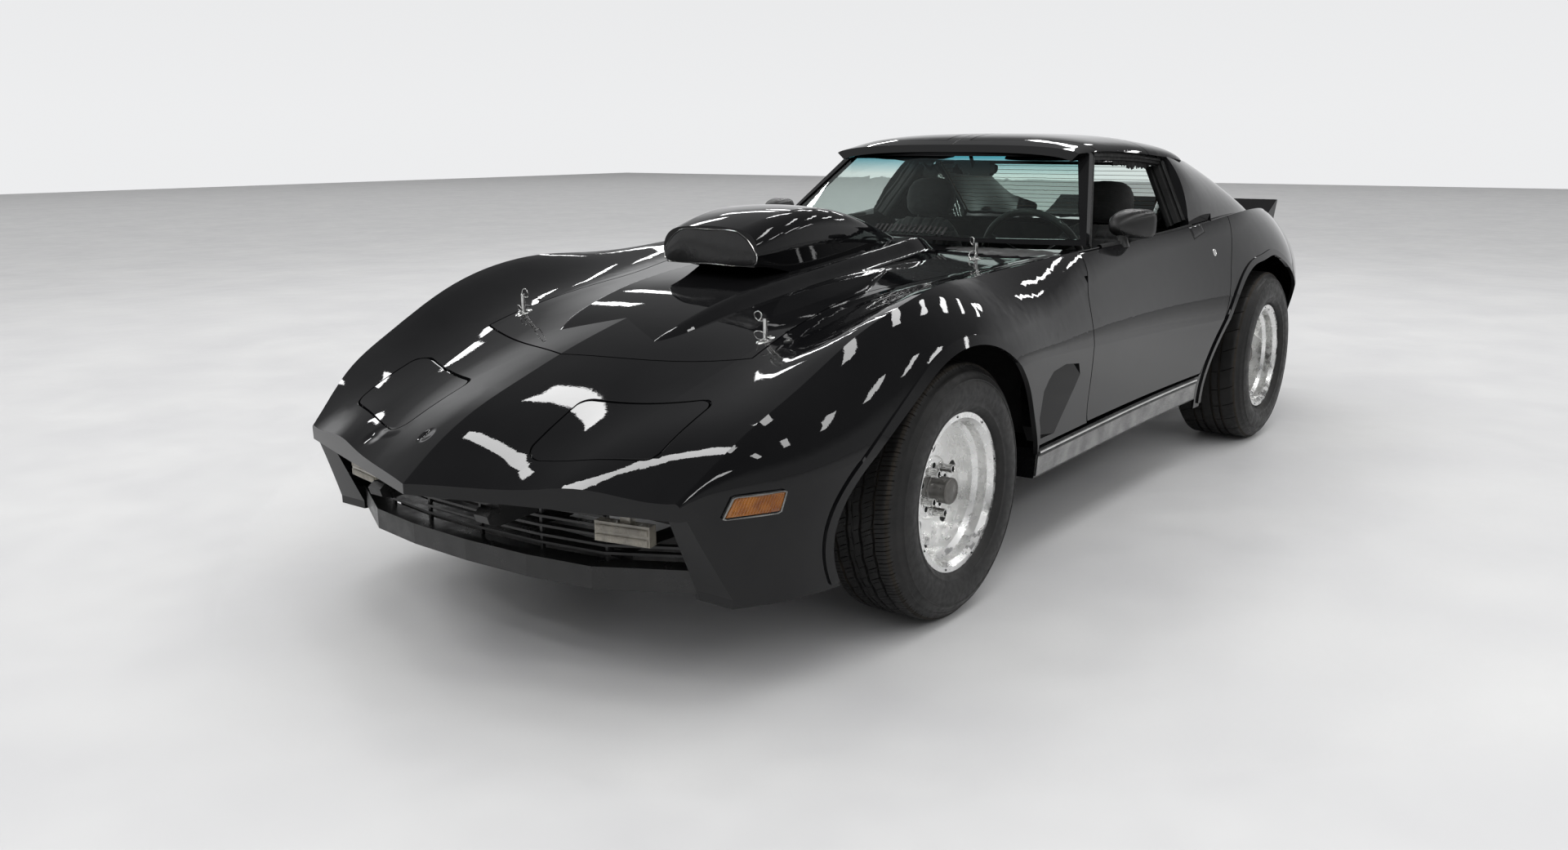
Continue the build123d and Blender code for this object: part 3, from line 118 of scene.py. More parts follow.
floor_material, floor_tree, floor_shader = nodes_of("pale_floor")
shade(floor_tree, grain(floor_tree, 1.5), floor_shader.inputs["Base Color"],
      (0.46, 0.46, 0.465), (0.50, 0.50, 0.50))
shade(floor_tree, grain(floor_tree, 6), floor_shader.inputs["Roughness"], 0.42, 0.55)
floor_mesh = bpy.data.meshes.new("studio_floor")
floor_mesh.from_pydata([(-30, -30, -0.001), (30, -30, -0.001), (30, 30, -0.001),
                        (-30, 30, -0.001)], [], [(0, 1, 2, 3)])
studio_floor = bpy.data.objects.new("studio_floor", floor_mesh)
bpy.context.scene.collection.objects.link(studio_floor)
floor_mesh.materials.append(floor_material)

world = bpy.data.worlds.new("studio")
bpy.context.scene.world = world
world.use_nodes = True
sky = world.node_tree
heading = sky.nodes.new("ShaderNodeTexCoord")
split = sky.nodes.new("ShaderNodeSeparateXYZ")
walls = sky.nodes.new("ShaderNodeValToRGB")
side_dim = sky.nodes.new("ShaderNodeMapRange")
# The wall on the car's left stands further off, and is darker
side_dim.inputs["From Min"].default_value, side_dim.inputs["From Max"].default_value = 0.0, 0.7
side_dim.inputs["To Min"].default_value, side_dim.inputs["To Max"].default_value = 1.0, 0.55
# Sine of the height above the horizon, against brightness: floor, wall, dim ceiling
WALL_LIGHT = [(0.0, 0.86), (0.02, 0.86), (0.24, 0.80), (0.38, 0.24), (1.0, 0.14)]
walls.color_ramp.elements[0].position, walls.color_ramp.elements[1].position = 0.0, 1.0
for place, _ in WALL_LIGHT[1:-1]:
    walls.color_ramp.elements.new(place)
for element, (_, level) in zip(walls.color_ramp.elements, WALL_LIGHT):
    element.color = (level * 0.985, level * 0.99, level, 1)
sky.links.new(heading.outputs["Generated"], split.inputs["Vector"])
sky.links.new(split.outputs["Z"], walls.inputs["Fac"])
sky.links.new(walls.outputs["Color"], sky.nodes["Background"].inputs["Color"])
sky.links.new(split.outputs["Y"], side_dim.inputs["Value"])
sky.links.new(side_dim.outputs["Result"], sky.nodes["Background"].inputs["Strength"])


def light_panel(name, place, towards, size, watts):
    lamp = bpy.data.lights.new(name, "AREA")
    lamp.shape, lamp.size, lamp.size_y = "RECTANGLE", size[0], size[1]
    lamp.energy = watts
    panel = bpy.data.objects.new(name, lamp)
    bpy.context.scene.collection.objects.link(panel)
    panel.location = place
    panel.rotation_euler = (Vector(towards) - Vector(place)).to_track_quat("-Z", "Y").to_euler()
    return panel


bpy.context.scene.view_settings.view_transform = "Standard"
for row, across in enumerate((-5.6, -1.9, 1.9, 5.6)):
    for bay in range(10):
        if (row, bay) == (1, 4):        # the bay the windshield would mirror into the camera
            continue
        light_panel(f"ceiling_lamp_{row}_{bay}", (-7 + 1.5 * bay, across, 4.2),
                    (-7 + 1.5 * bay, across, 0), (0.30, 1.25), 15)
skylight = light_panel("skylight", (0, 0, 14), (0, 0, 0), (60, 60), 12000)
skylight.visible_glossy = False
skylight.visible_transmission = False


# ---- Painted body ----
# Black two-stage gloss over hand-laid fibreglass panels: a deep coat with slight orange peel.
# The soft nose has a wrinkle on its right and a small dent on its centre crease.

def gloss_paint():
    material, tree, shader = nodes_of("gloss_black_paint")
    shade(tree, grain(tree, 3), shader.inputs["Base Color"], (0.0030, 0.0030, 0.0034),
          (0.0052, 0.0052, 0.0056))
    shade(tree, grain(tree, 40), shader.inputs["Roughness"], 0.12, 0.20)
    shader.inputs["Specular IOR Level"].default_value = 0.0
    shader.inputs["Coat Weight"].default_value = 1.0
    shader.inputs["Coat IOR"].default_value = 1.38
    shader.inputs["Coat Roughness"].default_value = 0.02
    peel = relief(tree, shader, grain(tree, 150, 2), 0.00002, socket="Coat Normal")
    # Each dent: centre, stretch along the axes and depth in metres
    for middle, stretch, depth in (((2.209, -0.290, 0.506), (16, 26, 30), 0.004),
                                   ((2.200, -0.262, 0.512), (40, 14, 30), -0.003),
                                   ((2.223, -0.075, 0.538), (30, 34, 40), 0.006)):
        place = tree.nodes.new("ShaderNodeTexCoord")
        shift = tree.nodes.new("ShaderNodeMapping")
        shift.vector_type = "POINT"
        shift.inputs["Location"].default_value = [-m * s for m, s in zip(middle, stretch)]
        shift.inputs["Scale"].default_value = stretch
        bowl = tree.nodes.new("ShaderNodeTexGradient")
        bowl.gradient_type = "SPHERICAL"
        soft = tree.nodes.new("ShaderNodeMapRange")
        soft.interpolation_type = "SMOOTHERSTEP"
        dent = tree.nodes.new("ShaderNodeBump")
        dent.inputs["Distance"].default_value = depth
        dent.invert = True
        tree.links.new(place.outputs["Object"], shift.inputs["Vector"])
        tree.links.new(shift.outputs["Vector"], bowl.inputs["Vector"])
        tree.links.new(bowl.outputs["Fac"], soft.inputs["Value"])
        tree.links.new(soft.outputs["Result"], dent.inputs["Height"])
        tree.links.new(dent.outputs["Normal"], peel.inputs["Normal"])
        peel = dent
    return material


paint = gloss_paint()


def dress(material, slot, *names):
    """Gives CAD pieces a finish."""
    for name in names:
        node[name].data.materials.clear()
        node[name].data.materials.append(material)


dress(paint, "gloss_black_paint", "front_clip", "rear_body", "hood", "hood_scoop", "door_left",
      "door_right", "t_top_panels", "rear_bumper", "rear_spoiler", "sills", "headlamp_left",
      "headlamp_right")


class Shape:
    """Collects turned, swept and bevelled forms into one mesh."""

    def __init__(self):
        self.verts = []
        self.faces = []

    def grid(self, rows, wrap=False, close=False):
        """Skin over rows of points; wrap joins each row's ends, close joins the last row."""
        start, wide = len(self.verts), len(rows[0])
        self.verts += [tuple(p) for row in rows for p in row]
        count = len(rows) if close else len(rows) - 1
        for i in range(count):
            a, b = start + i * wide, start + ((i + 1) % len(rows)) * wide
            for j in range(wide if wrap else wide - 1):
                k = (j + 1) % wide
                self.faces.append((a + j, a + k, b + k, b + j))
        return self

    def cap(self, points):
        start = len(self.verts)
        self.verts += [tuple(p) for p in points]
        self.faces.append(tuple(range(start, start + len(points))))
        return self

    def turn(self, profile, place, steps=48):
        """Revolves (radius, height) points about the Z axis of a placing matrix."""
        rings = []
        for radius, height in profile:
            rings.append([place @ Vector((radius * math.cos(a), radius * math.sin(a), height))
                          for a in (2 * math.pi * i / steps for i in range(steps))])
        self.grid(rings, wrap=True)
        for ring, (radius, _) in ((rings[0], profile[0]), (rings[-1], profile[-1])):
            if radius > 1e-6:
                self.cap(ring)
        return self

    def block(self, size, place, bevel):
        """Bevelled bar about the centre of a placing matrix."""
        half = [s / 2 for s in size]
        inner = [h - bevel for h in half]
        rings = []
        for z, grow in ((-half[2], 0), (-inner[2], bevel), (inner[2], bevel), (half[2], 0)):
            x, y = inner[0] + grow, inner[1] + grow
            cut = min(bevel, x * 0.5, y * 0.5)
            ring = [(x, -y + cut), (x, y - cut), (x - cut, y), (cut - x, y), (-x, y - cut),
                    (-x, cut - y), (cut - x, -y), (x - cut, -y)]
            rings.append([place @ Vector((px, py, z)) for px, py in ring])
        self.grid(rings, wrap=True)
        return self.cap(rings[0]).cap(rings[-1])

    def tube(self, points, radius, steps=10, close=False):
        """Round wire along points."""
        points = [Vector(p) for p in points]
        rings, side = [], None
        for i, p in enumerate(points):
            before = points[i - 1] if i or close else p
            after = points[(i + 1) % len(points)] if i + 1 < len(points) or close else p
            ahead = (after - before).normalized()
            if side is None:
                side = ahead.orthogonal().normalized()
            side = (side - ahead * side.dot(ahead)).normalized()
            up = ahead.cross(side)
            rings.append([p + (side * math.cos(a) + up * math.sin(a)) * radius
                          for a in (2 * math.pi * k / steps for k in range(steps))])
        self.grid(rings, wrap=True, close=close)
        return self if close else self.cap(rings[0]).cap(rings[-1])

    def piece(self, name, material, slot, body, sharp=35):
        """Turns what was collected into a piece that rides on a body."""
        mesh = bpy.data.meshes.new(name)
        mesh.from_pydata(self.verts, [], self.faces)
        solid = bmesh.new()
        solid.from_mesh(mesh)
        bmesh.ops.remove_doubles(solid, verts=solid.verts, dist=0.00001)
        bmesh.ops.recalc_face_normals(solid, faces=solid.faces)
        solid.to_mesh(mesh)
        solid.free()
        mesh.shade_smooth()
        mesh.set_sharp_from_angle(angle=math.radians(sharp))
        mesh.materials.append(material)
        thing = bpy.data.objects.new(name, mesh)
        bpy.context.scene.collection.objects.link(thing)
        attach(thing, body)
        return thing


def facing(point, direction, up=(0, 0, 1)):
    """Placing matrix at a point with its Z axis along a direction."""
    ahead = Vector(direction).normalized()
    side = Vector(up).cross(ahead)
    side = side.normalized() if side.length > 1e-4 else Vector((1, 0, 0))
    return Matrix.Translation(point) @ Matrix((side, ahead.cross(side),
                                               ahead)).transposed().to_4x4()


skins = {}


def on_skin(name, start, direction):
    """Where a ray meets a CAD piece, and the surface's outward normal there."""
    if name not in skins:
        mesh = node[name].data
        skins[name] = BVHTree.FromPolygons([v.co for v in mesh.vertices],
                                           [p.vertices for p in mesh.polygons])
    point, normal, _, _ = skins[name].ray_cast(Vector(start), Vector(direction).normalized())
    if point is None:
        return None, None
    if normal.dot(Vector(direction)) > 0:
        normal = -normal
    return point, normal



# ---- Underbody, trim and inner panels ----
# Frame, axle and suspension are brushed with black chassis paint that has gone dull and dusty.
# Grille, chin and mirrors are satin black; the cabin's inner panels are moulded black.

def satin(name, low, high, rough, scale=70, depth=0.0002):
    """Dull paint or moulded plastic with a fine grain and cloudy dust."""
    material, tree, shader = nodes_of(name)
    shade(tree, grain(tree, 5, 6), shader.inputs["Base Color"], low, high)
    shade(tree, grain(tree, 22), shader.inputs["Roughness"], rough - 0.1, rough + 0.08)
    relief(tree, shader, grain(tree, scale * 10, 3), depth)
    return material


chassis = satin("chassis_black", (0.010, 0.010, 0.010), (0.030, 0.028, 0.026), 0.62)
dress(chassis, "chassis_black", "frame_rails", "cross_members", "front_suspension", "rear_axle",
      "knuckle_left", "knuckle_right", "radiator", "engine")
satin_black = satin("satin_black", (0.004, 0.004, 0.004), (0.009, 0.009, 0.009), 0.36)
dress(satin_black, "satin_black", "front_valance", "grille", "bumper_guards", "door_mirror_left",
      "door_mirror_right", "rear_view_mirror")
dress(paint, "gloss_black_paint", "windshield_frame")
interior = satin("interior_black", (0.010, 0.010, 0.010), (0.020, 0.020, 0.020), 0.6, 120)
dress(interior, "interior_black", "cabin_tub", "firewall", "luggage_shelf", "dashboard",
      "center_console", "steering_wheel", "steering_column", "seats")


# ---- Tyres ----
# Moulded rubber. The front pair has a ribbed road tread with fine slits across the shoulders;
# the rear pair is wider, with two rain grooves and curved cross cuts. Grey dust lies in the cuts.

def rubber(name, low, high, rough):
    material, tree, shader = nodes_of(name)
    shade(tree, grain(tree, 11, 6), shader.inputs["Base Color"], low, high)
    shade(tree, grain(tree, 60), shader.inputs["Roughness"], rough - 0.08, rough + 0.1)
    shader.inputs["Specular IOR Level"].default_value = 0.35
    relief(tree, shader, grain(tree, 900, 2), 0.0002)
    return material


side_rubber = rubber("tyre_rubber", (0.007, 0.007, 0.007), (0.013, 0.0125, 0.012), 0.50)
groove_rubber = rubber("tyre_groove_dust", (0.010, 0.009, 0.007), (0.030, 0.024, 0.018), 0.85)

# Half of a tyre's section: radius below the tread line, distance in from the sidewall
SIDEWALL = [(-127, 27.5), (-124.5, 20.5), (-119, 13.5), (-112, 8.8), (-110, 6.4), (-107, 5.6),
            (-104.5, 6.6), (-97, 3.6), (-88, 1.5), (-77, 0.6), (-66, 1.2), (-55, 3.0),
            (-46, 5.4), (-45, 3.9), (-41.5, 4.7), (-40.5, 7.2), (-33, 10.6), (-26, 15.0),
            (-25, 14.0), (-22, 16.2), (-21, 18.9), (-14, 26.2), (-9.5, 29.0), (-6, 31.5),
            (-3.6, 36.0), (-2.0, 41.0)]


def tread_lines(width, grooves, groove_width):
    """Distances across the tread where the grid has a line, with steep groove walls."""
    lines = [48.0, 55.0]
    for middle in grooves:
        half = groove_width / 2
        lines += [middle - half - 0.8, middle - half + 0.8, middle + half - 0.8,
                  middle + half + 0.8]
    for a, b in zip((55.0,) + tuple(grooves), tuple(grooves) + (width / 2,)):
        lines += [a + (b - a) * 0.36, a + (b - a) * 0.66]
    lines = sorted(v for v in lines if v < width / 2 - 1)
    return lines + [width / 2] + [width - v for v in reversed(lines)]


def road_cut(share, edge, grooves):
    """Depth of the front tread: each pitch has one cut and two slits on the shoulder."""
    if edge < 27:
        return 0.0
    if edge < grooves[0] - 5:
        return 5.0 if share in (1, 2) else 3.6 if share in (5, 8) else 0.0
    if edge < grooves[1] - 5:
        return 5.0 if share in (1, 2) else 3.0 if share == 5 else 0.0
    return 4.5 if share == 8 else 0.0


def road_lag(edge, grooves):
    """How far round, in pitches, a cut has slanted at a distance in from the sidewall."""
    if edge < grooves[0]:
        return 0.15 * (edge - 27) / 30
    return 0.5 + 0.5 * (edge - grooves[0]) / 34


def strip_cut(share, edge, grooves):
    """Depth of the rear tread: one long curved cut at every pitch, from shoulder to groove."""
    return 4.5 if share in (1, 2) and 33 < edge < grooves[-1] + 2 else 0.0


def strip_lag(edge, grooves):
    reach = max(0.0, min(1.0, (edge - 33) / (grooves[-1] - 33)))
    return 0.34 * math.sin(reach * math.pi / 2)


# Places of the grid's lines round one pitch of the tread
ROAD_PITCH = (0.0, 0.025, 0.065, 0.09, 0.35, 0.375, 0.40, 0.67, 0.695, 0.72)
STRIP_PITCH = (0.0, 0.016, 0.032, 0.048, 0.20, 0.36, 0.52, 0.68, 0.84)


def tyre(name, place, radius, width, pitches, shares, grooves, groove_width, cut, lag, wave):
    points = [(radius + r, across, False) for r, across in SIDEWALL]
    for across in tread_lines(width, grooves, groove_width):
        middle = abs(across - width / 2) / (width / 2 - 40)
        points.append((radius - 2.0 * middle ** 2, across, True))
    inboard = [0, 3, 8, 10, 12, 16, 20, 21, 22, 23, 24, 25]
    points += [(radius + SIDEWALL[i][0], width - SIDEWALL[i][1], False)
               for i in reversed(inboard)]
    points = [(190.8, 27.5, False)] + points + [(190.8, width - 27.5, False)]
    rows = []
    for pitch in range(pitches):
        for share, part in enumerate(shares):
            row = []
            for r, across, tread in points:
                edge = min(across, width - across)
                depth = cut(share, edge, grooves) if r > radius - 15 else 0.0
                if tread and any(abs(edge - g) < groove_width / 2 - 0.4 for g in grooves):
                    depth = 7.0
                turn = (pitch + part) / pitches
                swing = wave * (abs((turn * pitches * 0.5) % 1 - 0.5) * 4 - 1) if tread else 0.0
                if edge > 27:
                    turn += lag(edge, grooves) / pitches * math.copysign(1, width / 2 - across)
                angle = 2 * math.pi * turn
                row.append(place @ (Vector(((r - depth) * math.cos(angle),
                                            (r - depth) * math.sin(angle),
                                            -across - swing)) / 1000))
            rows.append(row)
    form = Shape().grid(rows, wrap=True, close=True)
    piece = form.piece(f"tyre_{name}_tread", side_rubber, "tyre_rubber", f"wheel_{name}", 45)
    piece.data.materials.append(groove_rubber)
    inverse = place.inverted()
    for face in piece.data.polygons:
        centre = inverse @ face.center
        if (0.030 < -centre.z < width / 1000 - 0.030
                and math.hypot(centre.x, centre.y) * 1000 < radius - 4.5):
            face.material_index = 1
    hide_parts(f"tyre_{name}")
    return piece


# Name, axle x, hub height, outer face y, side, radius, width, rim depth; all in millimetres
WHEELS = [("front_left", 1292, 332, 835, 1, 332, 240, 78),
          ("front_right", 1292, 332, 835, -1, 332, 240, 78),
          ("rear_left", -1197, 338, 860, 1, 338, 284, 110),
          ("rear_right", -1197, 338, 860, -1, 338, 284, 110)]
hubs = {}
for name, x, z, y, side, radius, width, dish in WHEELS:
    hubs[name] = facing((x / 1000, side * y / 1000, z / 1000), (0, side, 0))
    if name.startswith("front"):
        tyre(name, hubs[name], radius, width, 60, ROAD_PITCH, (66, 101), 7, road_cut, road_lag, 1.6)
    else:
        tyre(name, hubs[name], radius, width, 28, STRIP_PITCH, (88, 120), 9, strip_cut,
             strip_lag, 0)


# ---- Wheels ----
# Polished aluminium, spun and welded: a deep stepped barrel with small screws round its lip,
# long open-ended nuts, a dull grey cap over the bearing and a snap-in rubber valve.

def metal(name, colour, bright, rough, brush=0.00002, stretch=(1, 1, 1), scale=300):
    material, tree, shader = nodes_of(name)
    shader.inputs["Metallic"].default_value = 1.0
    shade(tree, grain(tree, 14, 5), shader.inputs["Base Color"], colour, bright)
    shade(tree, grain(tree, 40, 4, stretch), shader.inputs["Roughness"], rough * 0.6, rough * 1.5)
    relief(tree, shader, grain(tree, scale, 2, stretch), brush)
    return material


polished = metal("polished_aluminium", (0.80, 0.80, 0.79), (0.92, 0.92, 0.91), 0.27,
                 0.000004)
bright_steel = metal("bright_steel", (0.62, 0.62, 0.61), (0.78, 0.78, 0.77), 0.14)
grey_cap = metal("grey_rim", (0.15, 0.145, 0.135), (0.24, 0.235, 0.225), 0.42)
dress(polished, "polished_aluminium", "rim_front_left", "rim_front_right", "rim_rear_left",
      "rim_rear_right")
black_rubber = rubber("black_rubber", (0.008, 0.008, 0.008), (0.016, 0.016, 0.016), 0.6)
# Near-black painted shade for the bores of the open-ended nuts and for the holes between them; the
# small lip screws are drawn in the same near-black
bore_shade_black = rubber("nut_bore_shadow", (0.003, 0.003, 0.003), (0.007, 0.007, 0.007), 0.8)

# Radii of the rings of nuts, lip screws and valve, and where round the rim the valve sits
NUT_CIRCLE, SCREW_CIRCLE, VALVE_CIRCLE = 60, 198, 166
NUTS, LIP_SCREWS, VALVE_ANGLE = 5, 9, 232
for name, x, z, y, side, radius, width, dish in WHEELS:
    hub, body, disc = hubs[name], f"wheel_{name}", -22 - dish
    scale = Matrix.Diagonal((0.001, 0.001, 0.001, 1))
    nuts, bores, plate, screws, cap = Shape(), Shape(), Shape(), Shape(), Shape()
    plate.turn([(36, disc + 0.2), (36, disc + 5), (39, disc + 6.2), (76, disc + 6.2),
                (80, disc + 4.4), (84, disc + 0.2)], hub @ scale, 64)
    plate.piece(f"wheel_pad_{name}", polished, "polished_aluminium", body)
    for i in range(NUTS):
        angle = math.radians(90 + 72 * i + 36)
        seat = hub @ scale @ Matrix.Translation((NUT_CIRCLE * math.cos(angle),
                                                 NUT_CIRCLE * math.sin(angle), disc + 6.2))
        nuts.turn([(15, 0.2), (15, 2), (13.6, 3.2), (12.2, 3.4), (10.4, 9), (10.6, 12),
                   (10.8, 33), (10.0, 36), (8.2, 36.4), (7.0, 35.2), (7.0, 24)], seat, 24)
        # A near-black disc deep in each open nut is the painted shade of its bore
        bores.turn([(6.9, 24.5), (2.5, 25.5), (0.01, 25.5)], seat, 20)
        # A near-black disc between two nuts is the painted shade of a hole in the wheel's disc
        angle += math.radians(36)
        seat = hub @ scale @ Matrix.Translation((NUT_CIRCLE * math.cos(angle),
                                                 NUT_CIRCLE * math.sin(angle), disc + 6.2))
        bores.turn([(7.5, 0.3), (6.4, 0.7), (0.01, 0.5)], seat, 20)
    nuts.piece(f"wheel_nuts_{name}", bright_steel, "bright_steel", body)
    for i in range(LIP_SCREWS):
        angle = math.radians(40 * i + 14)
        seat = hub @ scale @ Matrix.Translation((SCREW_CIRCLE * math.cos(angle),
                                                 SCREW_CIRCLE * math.sin(angle), -22))
        bores.turn([(2.9, 0.1), (2.6, 1.3), (1.5, 1.9), (0.01, 2.0)], seat, 12)
    bores.piece(f"wheel_holes_{name}", bore_shade_black, "black_rubber", body)
    cap.turn([(37, disc + 5.8), (37, disc + 9), (34.5, disc + 11), (33.8, disc + 50),
              (34.4, disc + 52), (34.4, disc + 57), (32, disc + 60), (28.5, disc + 60.5),
              (26.5, disc + 58.6), (14, disc + 60.4), (0.01, disc + 61)], hub @ scale, 48)
    cap.piece(f"bearing_cap_{name}", grey_cap, "grey_rim", body)
    angle = math.radians(VALVE_ANGLE)
    stem = hub @ scale @ Matrix.Translation((VALVE_CIRCLE * math.cos(angle),
                                             VALVE_CIRCLE * math.sin(angle), disc + 8))
    stem = stem @ Matrix.Rotation(math.radians(16), 4, Vector((math.sin(angle),
                                                              -math.cos(angle), 0)))
    Shape().turn([(8.5, -8), (8.0, 2), (5.6, 6), (5.0, 24), (4.2, 26), (4.2, 36), (3.6, 38),
                  (0.01, 38.4)], stem, 18).piece(f"valve_{name}", black_rubber, "black_rubber",
                                                 body)


# ---- Grille, turn lamps and side markers ----
# Turn lamps have ribbed clear lenses behind the grille bars. The amber side markers sit in thin
# bright frames screwed flush to the fender skin.

def lens(name, tint, dark, rough=0.08, clear=0.6, ribs=0):
    """Moulded clear plastic over a reflector, with a faint ribbed pattern inside."""
    material, tree, shader = nodes_of(name)
    shade(tree, grain(tree, 25), shader.inputs["Base Color"], dark, tint)
    shade(tree, grain(tree, 80), shader.inputs["Roughness"], rough * 0.6, rough * 1.6)
    shader.inputs["IOR"].default_value = 1.49
    shader.inputs["Transmission Weight"].default_value = clear
    shader.inputs["Coat Weight"].default_value = 0.6
    relief(tree, shader, grain(tree, ribs or 300, 1), 0.0003)
    return material


clear_lens = lens("clear_lens", (0.46, 0.43, 0.36), (0.26, 0.24, 0.20), clear=0.35)
amber_lens = lens("amber_lens", (0.55, 0.20, 0.012), (0.26, 0.07, 0.004), clear=0.35)
dress(clear_lens, "clear_lens", "turn_signals")
dress(amber_lens, "amber_lens", "side_markers")

TURN_LAMP = [(2152, 389), (2124, 523)]      # x, y of the lamp's ends
RIB_BANDS = [(0.3545, 0.3695), (0.3765, 0.3915)]        # heights between the grille bars
for side, word in ((1, "left"), (-1, "right")):
    ends = [Vector((x / 1000, side * y / 1000, 0)) for x, y in TURN_LAMP]
    ahead = Vector((ends[1].y - ends[0].y, ends[0].x - ends[1].x, 0)).normalized() * side
    ribs = Shape()
    for low, high in RIB_BANDS:
        rows = []
        for i in range(121):
            share = 0.02 + 0.96 * i / 120
            base = ends[0].lerp(ends[1], share)
            proud = 0.0016 + 0.0011 * math.sin(i * math.pi / 2)
            rows.append([base + ahead * out + Vector((0, 0, z)) for out, z in
                         ((0.0002, low), (proud, low + 0.0012), (proud, high - 0.0012),
                          (0.0002, high))])
        ribs.grid(rows)
    ribs.piece(f"turn_lens_{word}", clear_lens, "clear_lens", "root", 60)

dull_trim = metal("dull_trim", (0.16, 0.16, 0.16), (0.26, 0.26, 0.25), 0.34)
MARKER = [(2075, 433), (2056, 481), (1955, 484), (1966, 436)]      # x, z of the frame's corners
for side, word in ((1, "left"), (-1, "right")):
    outer, inner, foot = [], [], []
    centre = Vector((sum(p[0] for p in MARKER) / 4, 0, sum(p[1] for p in MARKER) / 4))
    for i in range(4):
        a, b = Vector((MARKER[i][0], 0, MARKER[i][1])), MARKER[(i + 1) % 4]
        b = Vector((b[0], 0, b[1]))
        for share in (0.06, 0.35, 0.65, 0.94):
            spot = a.lerp(b, share)
            for ring, grow, proud in ((foot, 2.0, -0.0008), (outer, 1.2, 0.0022),
                                      (inner, -2.6, 0.0026)):
                at = spot + (spot - centre).normalized() * grow
                start = (at.x / 1000, side * 1.2, at.z / 1000)
                hit = on_skin("side_markers", start, (0, -side, 0))
                if hit[0] is None or abs(hit[0].y) < 0.6:
                    hit = on_skin("front_clip", start, (0, -side, 0))
                    hit = (hit[0] + hit[1] * 0.006, hit[1])
                ring.append(hit[0] + hit[1] * proud)
    lip = [p + (q - p).normalized() * 0.0012 - Vector((0, side * 0.003, 0))
           for p, q in zip(inner, outer)]
    Shape().grid([foot, outer, inner, lip], wrap=True).piece(
        f"marker_frame_{word}", dull_trim, "bright_steel", "root", 50)
    ribs = Shape()
    for k in range(16):
        x = 1.972 + 0.088 * k / 15
        row = []
        for step in range(7):
            z = 0.4395 + 0.037 * step / 6
            hit, normal = on_skin("side_markers", (x - 0.012 * step / 6, side * 1.2, z),
                                  (0, -side, 0))
            if hit is not None and abs(hit.y) > 0.6:
                row.append([hit + Vector((dx, 0, 0)) + normal * proud
                            for dx, proud in ((-0.0022, 0.0002), (-0.0008, 0.0014),
                                              (0.0008, 0.0014), (0.0022, 0.0002))])
        if len(row) > 1:
            ribs.grid(row)
    ribs.piece(f"marker_ribs_{word}", amber_lens, "amber_lens", "root", 50)


# ---- Hood pins ----
# Steel pins on the frame stand through the hood. On each sits an oval scuff plate screwed to
# the hood, and a spring-wire clip whose two round loops stand out fore and aft of it.

dress(bright_steel, "bright_steel", "hood_pins")
PINS = [("front_left", 1590, 432, 778), ("front_right", 1590, -432, 778),
        ("rear_left", 514, 430, 888), ("rear_right", 514, -430, 888)]
for name, x, y, top in PINS:
    around = [on_skin("hood", (x / 1000 + 0.016 * math.cos(a), y / 1000 + 0.016 * math.sin(a), 1.3),
                      (0, 0, -1)) for a in (0.4, 2.0, 3.6, 5.2)]
    spot = sum((p for p, _ in around), Vector()) / 4
    normal = sum((n for _, n in around), Vector()).normalized()
    spot.x, spot.y = x / 1000, y / 1000
    seat = facing(spot, normal, (1, 0, 0)) @ Matrix.Diagonal((0.001, 0.001, 0.001, 1))
    plate = seat @ Matrix.Diagonal((1.0, 1.45, 1, 1))
    washer = Shape().turn([(9.5, -0.5), (9.0, 2.2), (10.5, 3.0), (14, 2.2), (18.5, 1.6),
                           (19.6, 0.8), (19.6, -1.5)], plate, 40)
    for turn in (-1, 1):
        screw = seat @ Matrix.Translation((0, 22 * turn, 1.5))
        washer.turn([(3.2, 0), (3.0, 1.0), (1.8, 1.7), (0.01, 1.8)], screw, 12)
    washer.piece(f"scuff_plate_{name}", bright_steel, "bright_steel", "hood")
    hole = top / 1000 - 0.007
    pivot = Vector((x / 1000, y / 1000, hole))
    out = Vector((0.35 if x > 1000 else -0.35, math.copysign(1, -y), 0)).normalized()
    wire = [pivot - out * 0.010]
    wire += [pivot + out * s for s in (0.0, 0.010, 0.018)]
    for i in range(1, 22):
        a = math.radians(-90 + 16 * i)
        wire.append(pivot + out * (0.018 + 0.012 * math.cos(a))
                    + Vector((0.0008 * i - 0.008, 0, 0.012 + 0.012 * math.sin(a))))
    clip = Shape().tube(wire, 0.00125, 8)
    low = spot.z + 0.010
    loop = []
    for i in range(24):
        a = math.radians(15 * i)
        loop.append(Vector((x / 1000, y / 1000, low)) + out * (0.004 + 0.015 * math.cos(a))
                    + Vector((0.016 + 0.006 * math.sin(a) * (1 if x > 1000 else -1), 0,
                              0.011 * math.sin(a) + 0.004)))
    clip.tube(loop, 0.0011, 8, close=True)
    clip.piece(f"pin_clip_{name}", bright_steel, "bright_steel", "hood", 80)


# ---- Scoop mouth ----
# A D-shaped flat plate of black plastic shuts the mouth of the scoop, a few millimetres inside
# its rim. A thin bright edging runs round it, pressed over the lip of the moulding.

def gloss_plastic(name, low, high, rough, depth=0.00004, scale=260):
    material, tree, shader = nodes_of(name)
    shade(tree, grain(tree, 9), shader.inputs["Base Color"], low, high)
    shade(tree, grain(tree, 34), shader.inputs["Roughness"], rough - 0.06, rough + 0.08)
    relief(tree, shader, grain(tree, scale, 2), depth)
    return material


plug_black = gloss_plastic("scoop_plug_black", (0.003, 0.003, 0.0032), (0.006, 0.006, 0.006), 0.20)
